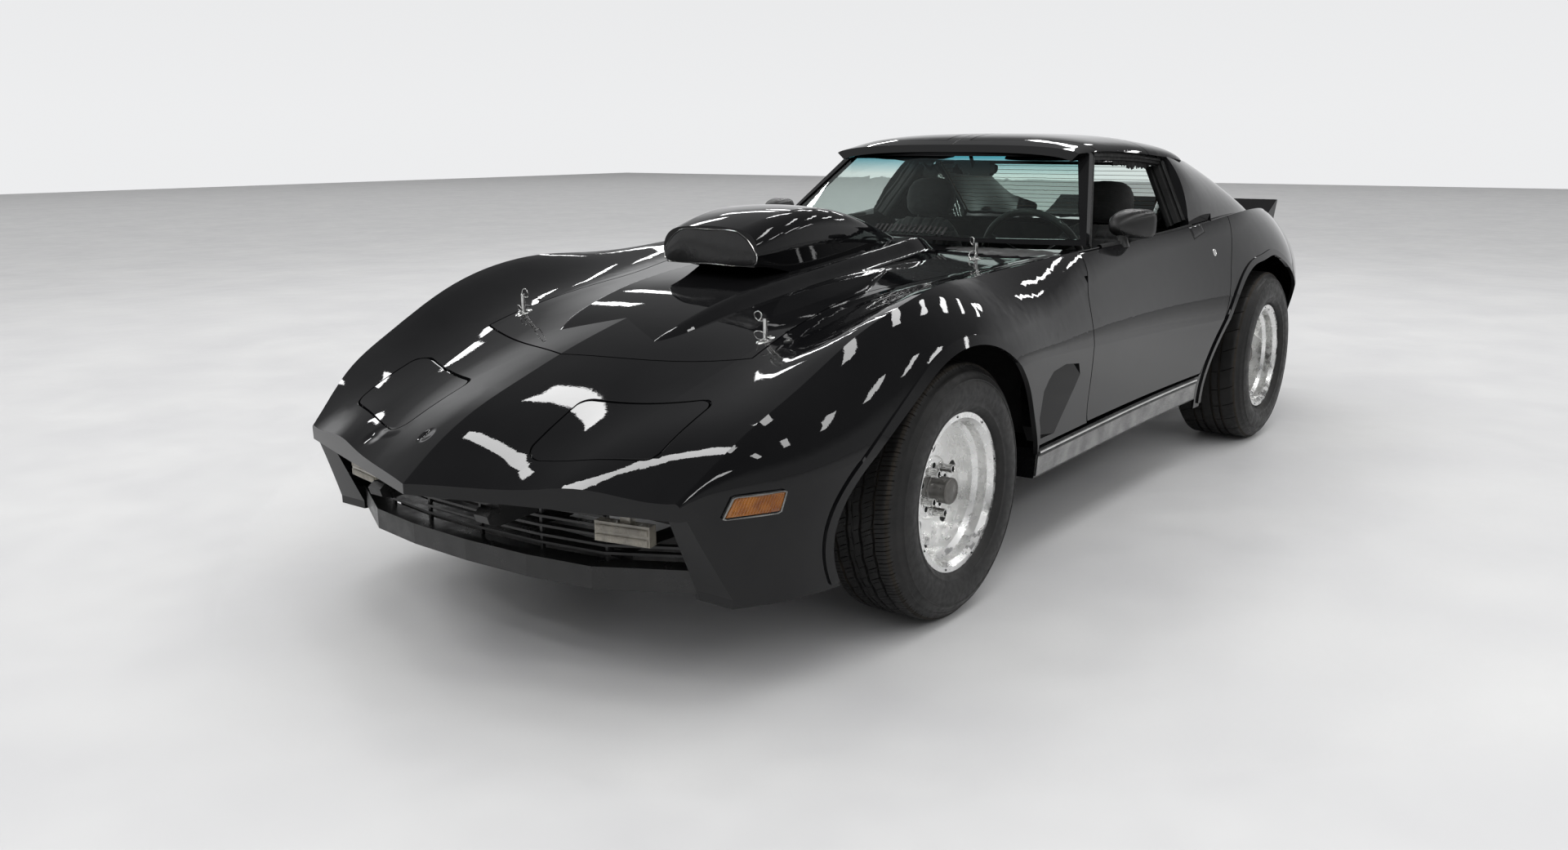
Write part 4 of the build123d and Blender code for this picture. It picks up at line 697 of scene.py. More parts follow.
# y, z of the rim's corners, from the middle of its foot round the left side to its top
MOUTH_CORNERS = [(0, 858.5), (120, 858.5), (160, 862), (172, 874), (172, 892), (158, 916),
                 (135, 940), (103, 958), (70, 961.5), (0, 962)]
mouth = [(1280.5, y, z) for y, z in MOUTH_CORNERS]
mouth += [(x, -y, z) for x, y, z in reversed(mouth[1:-1])]
mouth = [Vector(p) / 1000 for p in mouth]
middle = Vector((1.2805, 0, 0.912))
rounded = []
for i, point in enumerate(mouth):
    before, after = mouth[i - 1], mouth[(i + 1) % len(mouth)]
    rounded += [point.lerp(before, 0.18), (point * 2 + before + after) / 4 * 0.35 + point * 0.65,
                point.lerp(after, 0.18)]


def mouth_ring(inset, x):
    return [Vector((x, p.y, p.z)) + (middle - p).normalized() * inset for p in rounded]


plate = Shape().grid([mouth_ring(0.0075, 1.2790), mouth_ring(0.0085, 1.2815),
                      mouth_ring(0.0110, 1.2822)], wrap=True).cap(mouth_ring(0.0110, 1.2822))
plate.piece("scoop_plug", plug_black, "satin_black", "hood", 50)
Shape().grid([mouth_ring(0.0020, 1.2800), mouth_ring(0.0028, 1.2818), mouth_ring(0.0040, 1.2824),
              mouth_ring(0.0052, 1.2818), mouth_ring(0.0060, 1.2800)], wrap=True).piece(
    "scoop_edging", bright_steel, "bright_steel", "hood", 50)


# ---- Rocker trims ----
# Long pressings of brushed aluminium under the doors, with a bright bead along the top edge
# and a black stripe let in below it.

brushed = metal("brushed_aluminium", (0.22, 0.22, 0.22), (0.36, 0.36, 0.355), 0.36, 0.00003,
                (1, 30, 30), 60)
dress(brushed, "brushed_aluminium", "rocker_trims")
stripe_black = gloss_plastic("stripe_black", (0.004, 0.004, 0.004), (0.008, 0.008, 0.008), 0.4)
low, high = (Vector(c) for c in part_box("rocker_trims"))
for side, word in ((1, "left"), (-1, "right")):
    rows_bead, rows_stripe = [], []
    for i in range(61):
        x = low.x + 0.004 + (high.x - low.x - 0.008) * i / 60
        top = None
        for step in range(1, 60):
            z = high.z + 0.002 - step * 0.0015
            hit = on_skin("rocker_trims", (x, side * 1.2, z), (0, -side, 0))
            if hit[0] is not None and abs(hit[0].y) > 0.7 and hit[0].y * side > 0:
                top = hit[0]
                break
        if top is None:
            continue
        out = Vector((0, side, 0))
        rows_bead.append([top + out * dy + Vector((0, 0, dz)) for dy, dz in
                          ((-0.001, 0.0005), (0.0020, 0.0), (0.0032, -0.0028),
                           (0.0030, -0.0052), (0.0010, -0.0070), (-0.001, -0.0075))])
        rows_stripe.append([top + out * dy + Vector((0, 0, dz)) for dy, dz in
                            ((-0.001, -0.0085), (0.0009, -0.0090), (0.0011, -0.0120),
                             (0.0009, -0.0150), (-0.001, -0.0155))])
    Shape().grid(rows_bead).piece(f"rocker_bead_{word}", bright_steel, "bright_steel", "root", 50)
    Shape().grid(rows_stripe).piece(f"rocker_stripe_{word}", stripe_black, "satin_black", "root",
                                    50)


# ---- Door fittings ----
# A bright lock barrel sits in the outer skin of each door, below the press flap at its
# rear, in a thin turned ring.

for side, word in ((1, "left"), (-1, "right")):
    spot, normal = on_skin(f"door_{word}", (-0.650, side * 1.2, 0.791), (0, -side, 0))
    seat = facing(spot, normal) @ Matrix.Diagonal((0.001, 0.001, 0.001, 1))
    Shape().turn([(13.5, -0.5), (13.5, 1.0), (12.4, 2.2), (9.2, 2.6), (8.6, 1.6), (7.8, 1.5),
                  (7.4, 2.2), (1.2, 2.4), (1.1, 1.2), (0.01, 1.2)], seat, 36).piece(
        f"door_lock_{word}", bright_steel, "bright_steel", f"door_{word}")


# ---- Glass ----
# Laminated green-tinted glass with a blue-green shade along its top edge; the upright rear
# window carries fine printed heating lines.

def tinted(name, tint, dark_tint):
    material, tree, shader = nodes_of(name)
    shader.inputs["Transmission Weight"].default_value = 1.0
    shader.inputs["IOR"].default_value = 1.45
    shade(tree, grain(tree, 30), shader.inputs["Roughness"], 0.0, 0.012)
    shade(tree, grain(tree, 3), shader.inputs["Base Color"], dark_tint, tint)
    return material, tree, shader


rear_glass, _, _ = tinted("rear_window_glass", (0.86, 0.95, 0.91), (0.82, 0.93, 0.89))
screen_glass, screen_tree, screen_shader = tinted("windshield_glass", (0.84, 0.95, 0.90),
                                                  (0.80, 0.93, 0.88))
height = screen_tree.nodes.new("ShaderNodeTexCoord")
height_split = screen_tree.nodes.new("ShaderNodeSeparateXYZ")
band = screen_tree.nodes.new("ShaderNodeMapRange")
band.inputs["From Min"].default_value, band.inputs["From Max"].default_value = 1.075, 1.135
screen_tree.links.new(height.outputs["Object"], height_split.inputs["Vector"])
screen_tree.links.new(height_split.outputs["Z"], band.inputs["Value"])
shade(screen_tree, band.outputs["Result"], screen_shader.inputs["Base Color"],
      (0.80, 0.94, 0.89), (0.10, 0.42, 0.50), 0.0, 1.0)
dress(screen_glass, "window_glass", "windshield")
dress(rear_glass, "window_glass", "rear_window")

heater_ink, heater_tree, heater_shader = nodes_of("heating_line_print")
shade(heater_tree, grain(heater_tree, 40), heater_shader.inputs["Base Color"], (0.16, 0.09, 0.06),
      (0.24, 0.15, 0.10))
shade(heater_tree, grain(heater_tree, 60), heater_shader.inputs["Roughness"], 0.4, 0.6)
HEATING_LINES = 12
HEATER_TOP, HEATER_FOOT = Vector((-0.9020, 0.492, 1.086)), Vector((-1.0010, 0.424, 0.900))
lines = Shape()
for row in range(HEATING_LINES):
    end = HEATER_TOP.lerp(HEATER_FOOT, row / (HEATING_LINES - 1)) + Vector((0.0052, 0, 0.0025))
    points = [Vector((end.x, end.y * (1 - i / 15), end.z)) for i in range(31)]
    lines.grid([[p + Vector((-0.0004, 0, 0.0009)) for p in points],
                [p + Vector((0.0004, 0, -0.0009)) for p in points]])
for side in (1, -1):
    column = [HEATER_TOP.lerp(HEATER_FOOT, i / 12) + Vector((0.0055, 0, 0.0026))
              for i in range(-1, 14)]
    lines.grid([[Vector((p.x, side * (p.y + dy), p.z)) for p in column] for dy in (-0.004, 0.004)])
lines.piece("rear_window_heater", heater_ink, "satin_black", "root", 60)


# ---- Seats ----
# High-backed buckets: foam on a moulded shell, covered in dark woven cloth with raised side
# rolls, sewn pleats down the middle and a round headrest on the same cover.

def cloth(name, low, high):
    """Tight woven seat cloth, a little lighter where it has worn."""
    material, tree, shader = nodes_of(name)
    shade(tree, grain(tree, 7, 6), shader.inputs["Base Color"], low, high)
    shade(tree, grain(tree, 30), shader.inputs["Roughness"], 0.78, 0.95)
    shader.inputs["Sheen Weight"].default_value = 0.08
    shader.inputs["Sheen Roughness"].default_value = 0.5
    place = tree.nodes.new("ShaderNodeTexCoord")
    threads = []
    for axis in ("X", "Z"):
        wave = tree.nodes.new("ShaderNodeTexWave")
        wave.bands_direction = axis
        wave.inputs["Scale"].default_value = 130
        wave.inputs["Distortion"].default_value = 0.6
        tree.links.new(place.outputs["Object"], wave.inputs["Vector"])
        threads.append(wave.outputs["Fac"])
    weave = tree.nodes.new("ShaderNodeMath")
    weave.operation = "MULTIPLY"
    tree.links.new(threads[0], weave.inputs[0])
    tree.links.new(threads[1], weave.inputs[1])
    relief(tree, shader, weave.outputs["Value"], 0.0006)
    return material


seat_cloth = cloth("seat_fabric", (0.008, 0.008, 0.008), (0.017, 0.017, 0.017))


def pad_shape(rings, facing_out, roll, count=40):
    """Closed loft of soft-cornered rings; roll raises the two sides of its front face."""
    form, rows = Shape(), []
    for centre, wide, thick, square in rings:
        row = []
        for i in range(count):
            a = 2 * math.pi * i / count
            c, s = math.cos(a), math.sin(a)
            u = math.copysign(abs(c) ** (2 / square), c)
            v = math.copysign(abs(s) ** (2 / square), s)
            lift = roll * max(0.0, v) * (1 - math.exp(-((abs(u) / 0.78) ** 8)))
            row.append(Vector(centre) + Vector((0, 1, 0)) * wide * u
                       + Vector(facing_out) * (thick * v + lift))
        rows.append(row)
    form.grid(rows, wrap=True).cap(rows[0]).cap(rows[-1])
    return form


def swell(thing, cap, frames=20):
    """Blows the cover up against its own threads, each point moving no further than cap."""
    start = [v.co.copy() for v in thing.data.vertices]
    filling = thing.modifiers.new("filling", "CLOTH")
    filling.settings.use_pressure = True
    filling.settings.uniform_pressure_force = 4.0
    filling.settings.effector_weights.gravity = 0
    filling.collision_settings.use_collision = False
    for number in range(1, frames + 1):
        bpy.context.scene.frame_set(number)
    shown = thing.evaluated_get(bpy.context.evaluated_depsgraph_get())
    moved = [v.co.copy() for v in shown.data.vertices]
    thing.modifiers.remove(filling)
    bpy.context.scene.frame_set(1)
    for vertex, a, b in zip(thing.data.vertices, start, moved):
        step = b - a
        vertex.co = a + step * min(1.0, cap / max(step.length, 1e-9))


def apply_modifiers(thing):
    shown = thing.evaluated_get(bpy.context.evaluated_depsgraph_get())
    made = bpy.data.meshes.new_from_object(shown)
    thing.modifiers.clear()
    thing.data = made


def sew(thing, seams, axis_out, depth, width):
    """Draws the cover down along seams; a seam is a function of a point giving its distance."""
    for vertex in thing.data.vertices:
        sink = 0.0
        for seam, faces in seams:
            near = seam(vertex.co)
            if near is not None and vertex.normal.dot(axis_out) * faces > 0.25:
                sink = max(sink, math.exp(-(near / width) ** 2))
        vertex.co -= vertex.normal * depth * sink


def make_pad(name, rings, out, roll, cap, seams, voxel=0.009):
    form = pad_shape(rings, out, roll)
    pad = form.piece(name, seat_cloth, "seat_fabric", "root", 180)
    remesh = pad.modifiers.new("skin", "REMESH")
    remesh.mode, remesh.voxel_size = "VOXEL", voxel
    apply_modifiers(pad)
    swell(pad, cap)
    finer = pad.modifiers.new("finer", "SUBSURF")
    finer.levels = 1
    apply_modifiers(pad)
    sew(pad, seams, Vector(out), 0.0065, 0.0055)
    pad.data.shade_smooth()
    pad.data.materials.clear()
    pad.data.materials.append(seat_cloth)
    return pad


def seam_between(low, high):
    """Seams along the seat at both edges of the pleated middle and between its pleats."""
    def distance(point):
        u = abs(point.y - SEAT_Y)
        near = min(abs(u - line) for line in (0.048, 0.096, 0.144, 0.0))
        return near if low < point.x < high else None
    return distance


def cross_seam(x):
    return lambda point: abs(point.x - x) if abs(point.y - SEAT_Y) < 0.150 else None


def height_seam(z, half):
    return lambda point: abs(point.z - z) if abs(point.y - SEAT_Y) < half else None


SEAT_Y = 0.380
LEAN = Vector((-0.200, 0, 0.470)).normalized()
FRONT = Vector((LEAN.z, 0, -LEAN.x))
# Rings of each pad: centre or distance up the seat, half width, half thickness, squareness
CUSHION = [((-0.405, SEAT_Y, 0.352), 0.175, 0.050, 3.0),
           ((-0.390, SEAT_Y, 0.352), 0.198, 0.066, 4.0),
           ((-0.300, SEAT_Y, 0.350), 0.210, 0.070, 4.6),
           ((-0.120, SEAT_Y, 0.352), 0.212, 0.070, 4.6),
           ((0.010, SEAT_Y, 0.357), 0.210, 0.070, 4.4),
           ((0.055, SEAT_Y, 0.357), 0.200, 0.062, 3.6),
           ((0.076, SEAT_Y, 0.352), 0.176, 0.042, 3.0)]
BACK_FOOT = Vector((-0.392, SEAT_Y, 0.445))
BACK = [(0.000, 0.165, 0.036, 3.0), (0.020, 0.198, 0.050, 4.0), (0.140, 0.212, 0.054, 4.6),
        (0.290, 0.212, 0.052, 4.4), (0.360, 0.200, 0.048, 4.0), (0.410, 0.172, 0.042, 3.4),
        (0.452, 0.138, 0.035, 3.0), (0.478, 0.100, 0.026, 2.6)]
HEAD_FOOT = Vector((-0.592, SEAT_Y, 0.893))
HEAD_LEAN = Vector((-0.038, 0, 0.155)).normalized()
HEAD = [(0.000, 0.080, 0.026, 2.4), (0.018, 0.100, 0.038, 2.8), (0.060, 0.109, 0.042, 3.0),
        (0.105, 0.104, 0.040, 2.8), (0.132, 0.088, 0.032, 2.5), (0.148, 0.060, 0.020, 2.2)]
pads = [make_pad("seat_cushion_left", CUSHION, (0, 0, 1), 0.016, 0.010,
                 [(seam_between(-0.36, 0.035), 1), (cross_seam(0.038), 1)])]
pads.append(make_pad("seat_back_left",
                     [(BACK_FOOT + LEAN * s, w, t, q) for s, w, t, q in BACK], FRONT, 0.014, 0.010,
                     [(seam_between(-0.565, -0.39), 1), (height_seam(0.838, 0.150), 1)]))
pads.append(make_pad("headrest_left",
                     [(HEAD_FOOT + HEAD_LEAN * s, w, t, q) for s, w, t, q in HEAD], FRONT, 0.0,
                     0.006, [(lambda p: abs((p - HEAD_FOOT).dot(FRONT)), 0)], 0.007))
for pad in pads:
    twin = bpy.data.objects.new(pad.name.replace("left", "right"), pad.data.copy())
    bpy.context.scene.collection.objects.link(twin)
    twin.data.transform(Matrix.Translation((0, -2 * SEAT_Y, 0)))
    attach(twin, "root")
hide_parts("seats")

shell_black = gloss_plastic("seat_shell_black", (0.010, 0.010, 0.010), (0.018, 0.018, 0.018), 0.5)
for side, word in ((1, "left"), (-1, "right")):
    y = side * SEAT_Y
    shell = Shape()
    scale = Matrix.Translation((-0.165, y, 0.2815))
    shell.block((0.44, 0.33, 0.014), scale, 0.005)
    for rail in (-0.15, 0.15):
        shell.block((0.42, 0.030, 0.010), Matrix.Translation((-0.165, y + rail, 0.2775)), 0.003)
    plate = facing(BACK_FOOT + Vector((0, y - SEAT_Y, 0)) + LEAN * 0.225 - FRONT * 0.060, FRONT,
                   (0, 1, 0))
    shell.block((0.40, 0.36, 0.012), plate, 0.005)
    for stem in (-0.045, 0.045):
        foot = Vector((BACK_FOOT.x, y + stem, BACK_FOOT.z)) + LEAN * 0.42 - FRONT * 0.01
        shell.tube([foot, foot + LEAN * 0.10], 0.006, 12)
    shell.piece(f"seat_shell_{word}", shell_black, "interior_black", "root", 40)


# ---- Windshield posts and roof seals ----
# Ribbed rubber channels run up the posts and along under the roof edge for the drop windows.
# The one under the left roof edge has perished, and hangs down in rags.

seal_rubber = rubber("seal_rubber", (0.004, 0.004, 0.004), (0.010, 0.010, 0.010), 0.55)
POST_FOOT, POST_TOP = Vector((0.131, 0.634, 0.866)), Vector((-0.199, 0.490, 1.146))
ROOF_EDGE = [(-0.205, 0.492, 1.144), (-0.30, 0.496, 1.143), (-0.42, 0.505, 1.139),
             (-0.54, 0.520, 1.134), (-0.64, 0.532, 1.126), (-0.715, 0.540, 1.119)]
PILLAR_FOOT, PILLAR_TOP = Vector((-0.649, 0.676, 0.905)), Vector((-0.733, 0.548, 1.118))


def swept(points, outward, profile, flip=1):
    """Rows of a strip: profile points are (outward, across) from the line."""
    points = [Vector(p) for p in points]
    rows = []
    for i, p in enumerate(points):
        ahead = (points[min(i + 1, len(points) - 1)] - points[max(i - 1, 0)]).normalized()
        out = (Vector(outward) - ahead * ahead.dot(Vector(outward))).normalized()
        across = ahead.cross(out) * flip
        rows.append([p + out * o / 1000 + across * c / 1000 for o, c in profile])
    return rows


def between(a, b, count):
    return [a.lerp(b, i / count) for i in range(count + 1)]


def mirrored(rows, side):
    return [[Vector((p.x, p.y * side, p.z)) for p in row] for row in rows]


POST_RIBS = [(-8, -3), (2, -2), (4, 1), (4, 5), (1, 7), (1, 9), (5, 11), (5.5, 17), (2, 20),
             (-1, 21), (-8, 21)]
EDGE_RIBS = [(-18, 10), (0, 8), (3, 4), (3, -4), (0, -6), (0, -8), (3, -10), (2, -16), (-4, -18),
             (-16, -18)]
PILLAR_RIBS = [(-8, 4), (0, 0), (7, 3), (9, 10), (4, 15), (4, 19), (9, 24), (10, 42), (5, 47),
               (5, 51), (9, 55), (8, 66), (2, 72), (-12, 74)]
for side, word in ((1, "left"), (-1, "right")):
    seals = Shape()
    post = swept(between(POST_FOOT, POST_TOP, 24), (0, 1, 0), POST_RIBS, 1)
    seals.grid(mirrored(post, side))
    edge_line = []
    for a, b in zip(ROOF_EDGE, ROOF_EDGE[1:]):
        edge_line += [Vector(a).lerp(Vector(b), i / 6) for i in range(6)]
    seals.grid(mirrored(swept(edge_line + [Vector(ROOF_EDGE[-1])], (0, 1, 0), EDGE_RIBS, -1),
                        side))
    seals.piece(f"window_seal_{word}", seal_rubber, "black_rubber", "root", 40)
    forward = (0.93, 0, 0.373)
    pillar = swept(between(PILLAR_FOOT, PILLAR_TOP, 24), forward, PILLAR_RIBS, -1)
    Shape().grid(mirrored(pillar, side)).piece(f"pillar_trim_{word}", seal_rubber,
                                               "black_rubber", "root", 40)

random.seed(11)
# Where each rag starts and ends along the roof edge, and how far it hangs
RAG_SPANS = [(-0.215, -0.300, 0.010), (-0.300, -0.385, 0.004), (-0.385, -0.480, 0.017),
             (-0.480, -0.560, 0.026), (-0.560, -0.655, 0.020), (-0.655, -0.700, 0.006)]
rows, count = [], 150
for i in range(count + 1):
    x = -0.215 - 0.485 * i / count
    for a, b in zip(ROOF_EDGE, ROOF_EDGE[1:]):
        if b[0] <= x <= a[0]:
            root_point = Vector(a).lerp(Vector(b), (x - a[0]) / (b[0] - a[0]))
    hang = next((h for a, b, h in RAG_SPANS if b <= x <= a), 0.004)
    tear = hang * (0.55 + 0.6 * random.random()) if random.random() > 0.12 else hang * 0.2
    curl = 0.004 * math.sin(i * 0.55) + 0.002 * math.sin(i * 1.7)
    top = root_point + Vector((0, -0.010, -0.015))
    rows.append([top, top + Vector((0, curl * 0.4, -tear * 0.5 - 0.002)),
                 top + Vector((0.001 * math.sin(i), curl, -tear - 0.003)),
                 top + Vector((0, curl - 0.003, -tear - 0.002)),
                 top + Vector((0, curl * 0.4 - 0.0035, -tear * 0.5)),
                 top + Vector((0, -0.0035, 0))])
Shape().grid(rows).piece("torn_seal_left", seal_rubber, "black_rubber", "root", 60)


# ---- Rear window pane ----
# An upright flat pane of tempered glass fills the whole space between the rear pillars. It
# is set in a rubber gasket pushed over the edge of the opening.

PANE = [Vector((-0.9035, 0.514, 1.1015)), Vector((-1.0115, 0.436, 0.884))]
inward = Vector((PANE[1].z - PANE[0].z, 0, PANE[0].x - PANE[1].x)).normalized()
if inward.x < 0:
    inward = -inward
rows = []
for push in (0.0, 0.004):
    rows += [[p + inward * push for p in between(c, Vector((c.x, -c.y, c.z)), 12)]
             for c in PANE]
pane = Shape().grid([rows[0], rows[1], rows[3], rows[2]], close=True)
for end in (0, -1):
    pane.cap([rows[i][end] for i in (0, 1, 3, 2)])
pane.piece("rear_window_pane", rear_glass, "window_glass", "root", 20)
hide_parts("rear_window")
loop = [PANE[0], Vector((PANE[0].x, -PANE[0].y, PANE[0].z)),
        Vector((PANE[1].x, -PANE[1].y, PANE[1].z)), PANE[1]]
gasket_points = []
for i, corner in enumerate(loop):
    after = loop[(i + 1) % 4]
    gasket_points += [corner.lerp(after, s) for s in (0.03, 0.10, 0.3, 0.5, 0.7, 0.9, 0.97)]
Shape().tube(gasket_points, 0.007, 10, close=True).piece("rear_window_gasket", seal_rubber,
                                                          "black_rubber", "root", 80)


# ---- Roof seam ----
# The two lift-out panels meet on the middle bar of the roof in a narrow rubber joint that
# runs back from the windshield header.

SEAM = [(-0.60, -3.4), (0.06, -2.8), (0.06, 2.8), (-0.60, 3.4)]
line = []
for i in range(61):
    start = (-0.090 - 0.505 * i / 60, 0.002, 1.5)
    spots = [on_skin(name, start, (0, 0, -1))[0] for name in ("t_top_panels", "windshield_frame")]
    spots = [s for s in spots if s is not None]
    if spots:
        line.append(max(spots, key=lambda s: s.z))
Shape().grid(swept(line, (0, 0, 1), SEAM)).piece("roof_seam", seal_rubber, "black_rubber",
                                                 "root", 60)


# ---- Door tops ----
# A felt strip wipes each window along the top of the door; a flush press flap over the
# handle lies in the shoulder at the rear.

# Near-black felt for the window strips; the same material also serves as painted shade in the gap
# round each press flap
felt_and_gap_shade, felt_tree, felt_shader = nodes_of("window_felt")
shade(felt_tree, grain(felt_tree, 60), felt_shader.inputs["Base Color"], (0.004, 0.004, 0.004),
      (0.010, 0.010, 0.010))
shade(felt_tree, grain(felt_tree, 90), felt_shader.inputs["Roughness"], 0.9, 1.0)
relief(felt_tree, felt_shader, grain(felt_tree, 900, 2), 0.0004)
FLAP_PLACE, FLAP_SIZE = (-0.572, 0.741), (0.112, 0.034)
for side, word in ((1, "left"), (-1, "right")):
    line = []
    for i in range(41):
        x = 0.215 - 0.83 * i / 40
        spot, _ = on_skin(f"door_{word}", (x, side * 0.708, 1.0), (0, 0, -1))
        if spot is not None and spot.z > 0.84:
            line.append(spot)
    strip = swept(line, (0, 0, 1), [(-4, -9), (3, -9), (6, -6), (6, 2), (3, 5), (-4, 7)])
    Shape().grid(strip).piece(f"window_felt_{word}", felt_and_gap_shade, "black_rubber", f"door_{word}", 60)
    rows_gap, rows_flap = [], []
    for i in range(13):
        across = i / 12 - 0.5
        gap_row, flap_row = [], []
        for j in range(15):
            along = j / 14 - 0.5
            for row, grow, proud in ((gap_row, 1.0, 0.0003), (flap_row, 0.93, 0.0009)):
                x = FLAP_PLACE[0] - FLAP_SIZE[0] * along * grow
                y = side * (FLAP_PLACE[1] + FLAP_SIZE[1] * across * grow)
                spot, normal = on_skin(f"door_{word}", (x, y, 1.0), (0, 0, -1))
                rim = 0.0008 if row is flap_row and (i in (0, 12) or j in (0, 14)) else 0
                row.append(spot + normal * (proud - rim))
        rows_gap.append(gap_row)
        rows_flap.append(flap_row)
    # The near-black sheet just under the flap's edge is the painted shade of the gap round the flap
    Shape().grid(rows_gap).piece(f"handle_gap_{word}", felt_and_gap_shade, "black_rubber", f"door_{word}", 60)
    Shape().grid(rows_flap).piece(f"handle_flap_{word}", paint, "gloss_black_paint",
                                  f"door_{word}", 60)


# ---- Door mirrors ----
# Sport mirrors: one-piece moulded shells, pointed ahead and tall behind, on a short neck
# at the front corner of the door.

# Rings of the shell and its neck: centre x, y, z, half width, half height and squareness
SHELL = [(0.080, 0.700, 0.921, 0.006, 0.005, 2.2), (0.076, 0.701, 0.922, 0.020, 0.014, 2.3),
         (0.062, 0.704, 0.924, 0.034, 0.026, 2.5), (0.040, 0.710, 0.926, 0.048, 0.036, 2.8),
         (0.010, 0.718, 0.927, 0.058, 0.043, 3.2), (-0.020, 0.725, 0.927, 0.063, 0.047, 3.6),
         (-0.038, 0.729, 0.927, 0.064, 0.048, 3.8), (-0.0415, 0.7295, 0.927, 0.062, 0.046, 3.8),
         (-0.0400, 0.7295, 0.927, 0.059, 0.043, 3.8), (-0.0320, 0.728, 0.927, 0.0585, 0.0425, 3.8)]
NECK = [(0.026, 0.706, 0.900, 0.018, 0.026), (0.028, 0.706, 0.888, 0.016, 0.024),
        (0.032, 0.707, 0.876, 0.017, 0.026), (0.036, 0.708, 0.864, 0.021, 0.033),
        (0.038, 0.709, 0.856, 0.023, 0.036)]
GLASS_RING = (0.728, 0.927, 0.0585, 0.0425, 3.8)
silver, silver_tree, silver_shader = nodes_of("mirror_silver")
silver_shader.inputs["Metallic"].default_value = 1.0
shade(silver_tree, grain(silver_tree, 5), silver_shader.inputs["Base Color"], (0.80, 0.82, 0.82),
      (0.86, 0.87, 0.87))
shade(silver_tree, grain(silver_tree, 30), silver_shader.inputs["Roughness"], 0.01, 0.03)


def mirror_ring(x, y, z, wide, tall, square, side, count=40):
    ring = []
    for i in range(count):
        a = 2 * math.pi * i / count
        c, s = math.cos(a), math.sin(a)
        ring.append(Vector((x, side * (y + wide * math.copysign(abs(c) ** (2 / square), c)),
                            z + tall * math.copysign(abs(s) ** (2 / square), s))))
    return ring


for side, word in ((1, "left"), (-1, "right")):
    body = Shape()
    body.grid([mirror_ring(*row, side) for row in SHELL], wrap=True)
    body.cap(mirror_ring(*SHELL[0], side))
    neck = []
    for x, y, z, wide, tall in NECK:
        neck.append([Vector((x + tall * math.sin(a), side * (y + wide * math.cos(a)), z))
                     for a in (2 * math.pi * k / 24 for k in range(24))])
    body.grid(neck, wrap=True)
    body.cap(neck[0]).cap(neck[-1])
    shell = body.piece(f"mirror_shell_{word}", satin_black, "satin_black", f"door_{word}", 50)
    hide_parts(f"door_mirror_{word}")
    face, edge = (mirror_ring(x, *GLASS_RING, side) for x in (-0.0335, -0.0325))
    glass_face = Shape().cap(face).grid([face, edge], wrap=True)
    glass_face.piece(f"mirror_glass_{word}", silver, "window_glass", f"door_{word}", 30)


# ---- Fender socket ----
# A small round rubber grommet is let into the left fender beside the front hood pin. In it
# sits a steel plug.

spot, normal = on_skin("front_clip", (1.590, 0.501, 1.2), (0, 0, -1))
socket = facing(spot, normal) @ Matrix.Diagonal((0.001, 0.001, 0.001, 1))
Shape().turn([(11.5, -0.5), (11.5, 1.2), (10.0, 2.8), (7.6, 3.0), (6.6, 1.6), (5.0, 0.8),
              (0.01, 0.6)], socket, 32).piece("fender_grommet", black_rubber, "black_rubber",
                                               "root", 60)
Shape().turn([(6.4, 1.7), (6.2, 2.3), (5.2, 2.2), (4.8, 1.2), (0.01, 1.1)], socket, 24).piece(
    "fender_socket", bright_steel, "bright_steel", "root", 60)


# ---- Cowl louvres ----
# A black moulded grille of fine slats along the foot of the windshield lets air into the
# cabin heater. It is clipped over the edge of the glass.

slats = Shape()
for k in range(15):
    y = -0.100 + 0.270 * k / 14
    row = []
    for x in (0.236, 0.244, 0.252, 0.260, 0.268):
        foot, out = on_skin("windshield", (x, y, 1.3), (0, 0, -1))
        if foot is None:
            continue
        across = out.cross(Vector((1, 0, 0))).normalized()
        row.append([foot + across * a + out * o for a, o in
                    ((-0.0062, 0.0002), (-0.0050, 0.0028), (0.0010, 0.0034), (0.0030, 0.0012),
                     (0.0032, 0.0002))])
    slats.grid(row).cap(row[0]).cap(row[-1])
slats.piece("cowl_louvres", satin_black, "satin_black", "root", 40)


# ---- Dashboard ----
# A moulded pad with a soft brow runs across under the windshield. Two deep round dials stand
# before the driver, small ones over the console, and open pockets before the passenger.

def frame_at(point, direction):
    """Millimetre placing matrix at a point given in metres."""
    return facing(point, direction) @ Matrix.Diagonal((0.001, 0.001, 0.001, 1))


dial_face = gloss_plastic("dial_face", (0.006, 0.006, 0.006), (0.011, 0.011, 0.011), 0.55)
dial_white = gloss_plastic("dial_marks", (0.70, 0.70, 0.66), (0.82, 0.82, 0.78), 0.5)
dial_red = gloss_plastic("dial_needles", (0.55, 0.06, 0.015), (0.70, 0.10, 0.03), 0.45)
clear_cover = lens("dial_cover", (0.90, 0.90, 0.90), (0.84, 0.84, 0.84), rough=0.03, clear=1.0)
brow = Shape()
# Pad section as (x, z): over the top, round the brow and back under it
BROW = [(0.455, 0.826), (0.400, 0.838), (0.320, 0.845), (0.255, 0.846), (0.226, 0.842),
        (0.212, 0.833), (0.208, 0.820), (0.214, 0.809), (0.228, 0.804), (0.249, 0.806)]
rows = []
for i in range(61):
    y = 0.612 - 1.224 * i / 60
    rise = 0.006 * math.exp(-((y - 0.38) / 0.20) ** 4) + 0.0015 * math.sin(i * 2.1)
    ease = 0.05 * max(0.0, abs(y) / 0.612 - 0.9) * 4
    rows.append([(x + ease * (0.455 - x), y, z + rise * (1 if z > 0.82 else 0.2) - ease * 0.1)
                 for x, z in BROW])
brow.grid(rows).cap(rows[0]).cap(rows[-1])
brow.piece("dash_brow", interior, "interior_black", "root", 50)

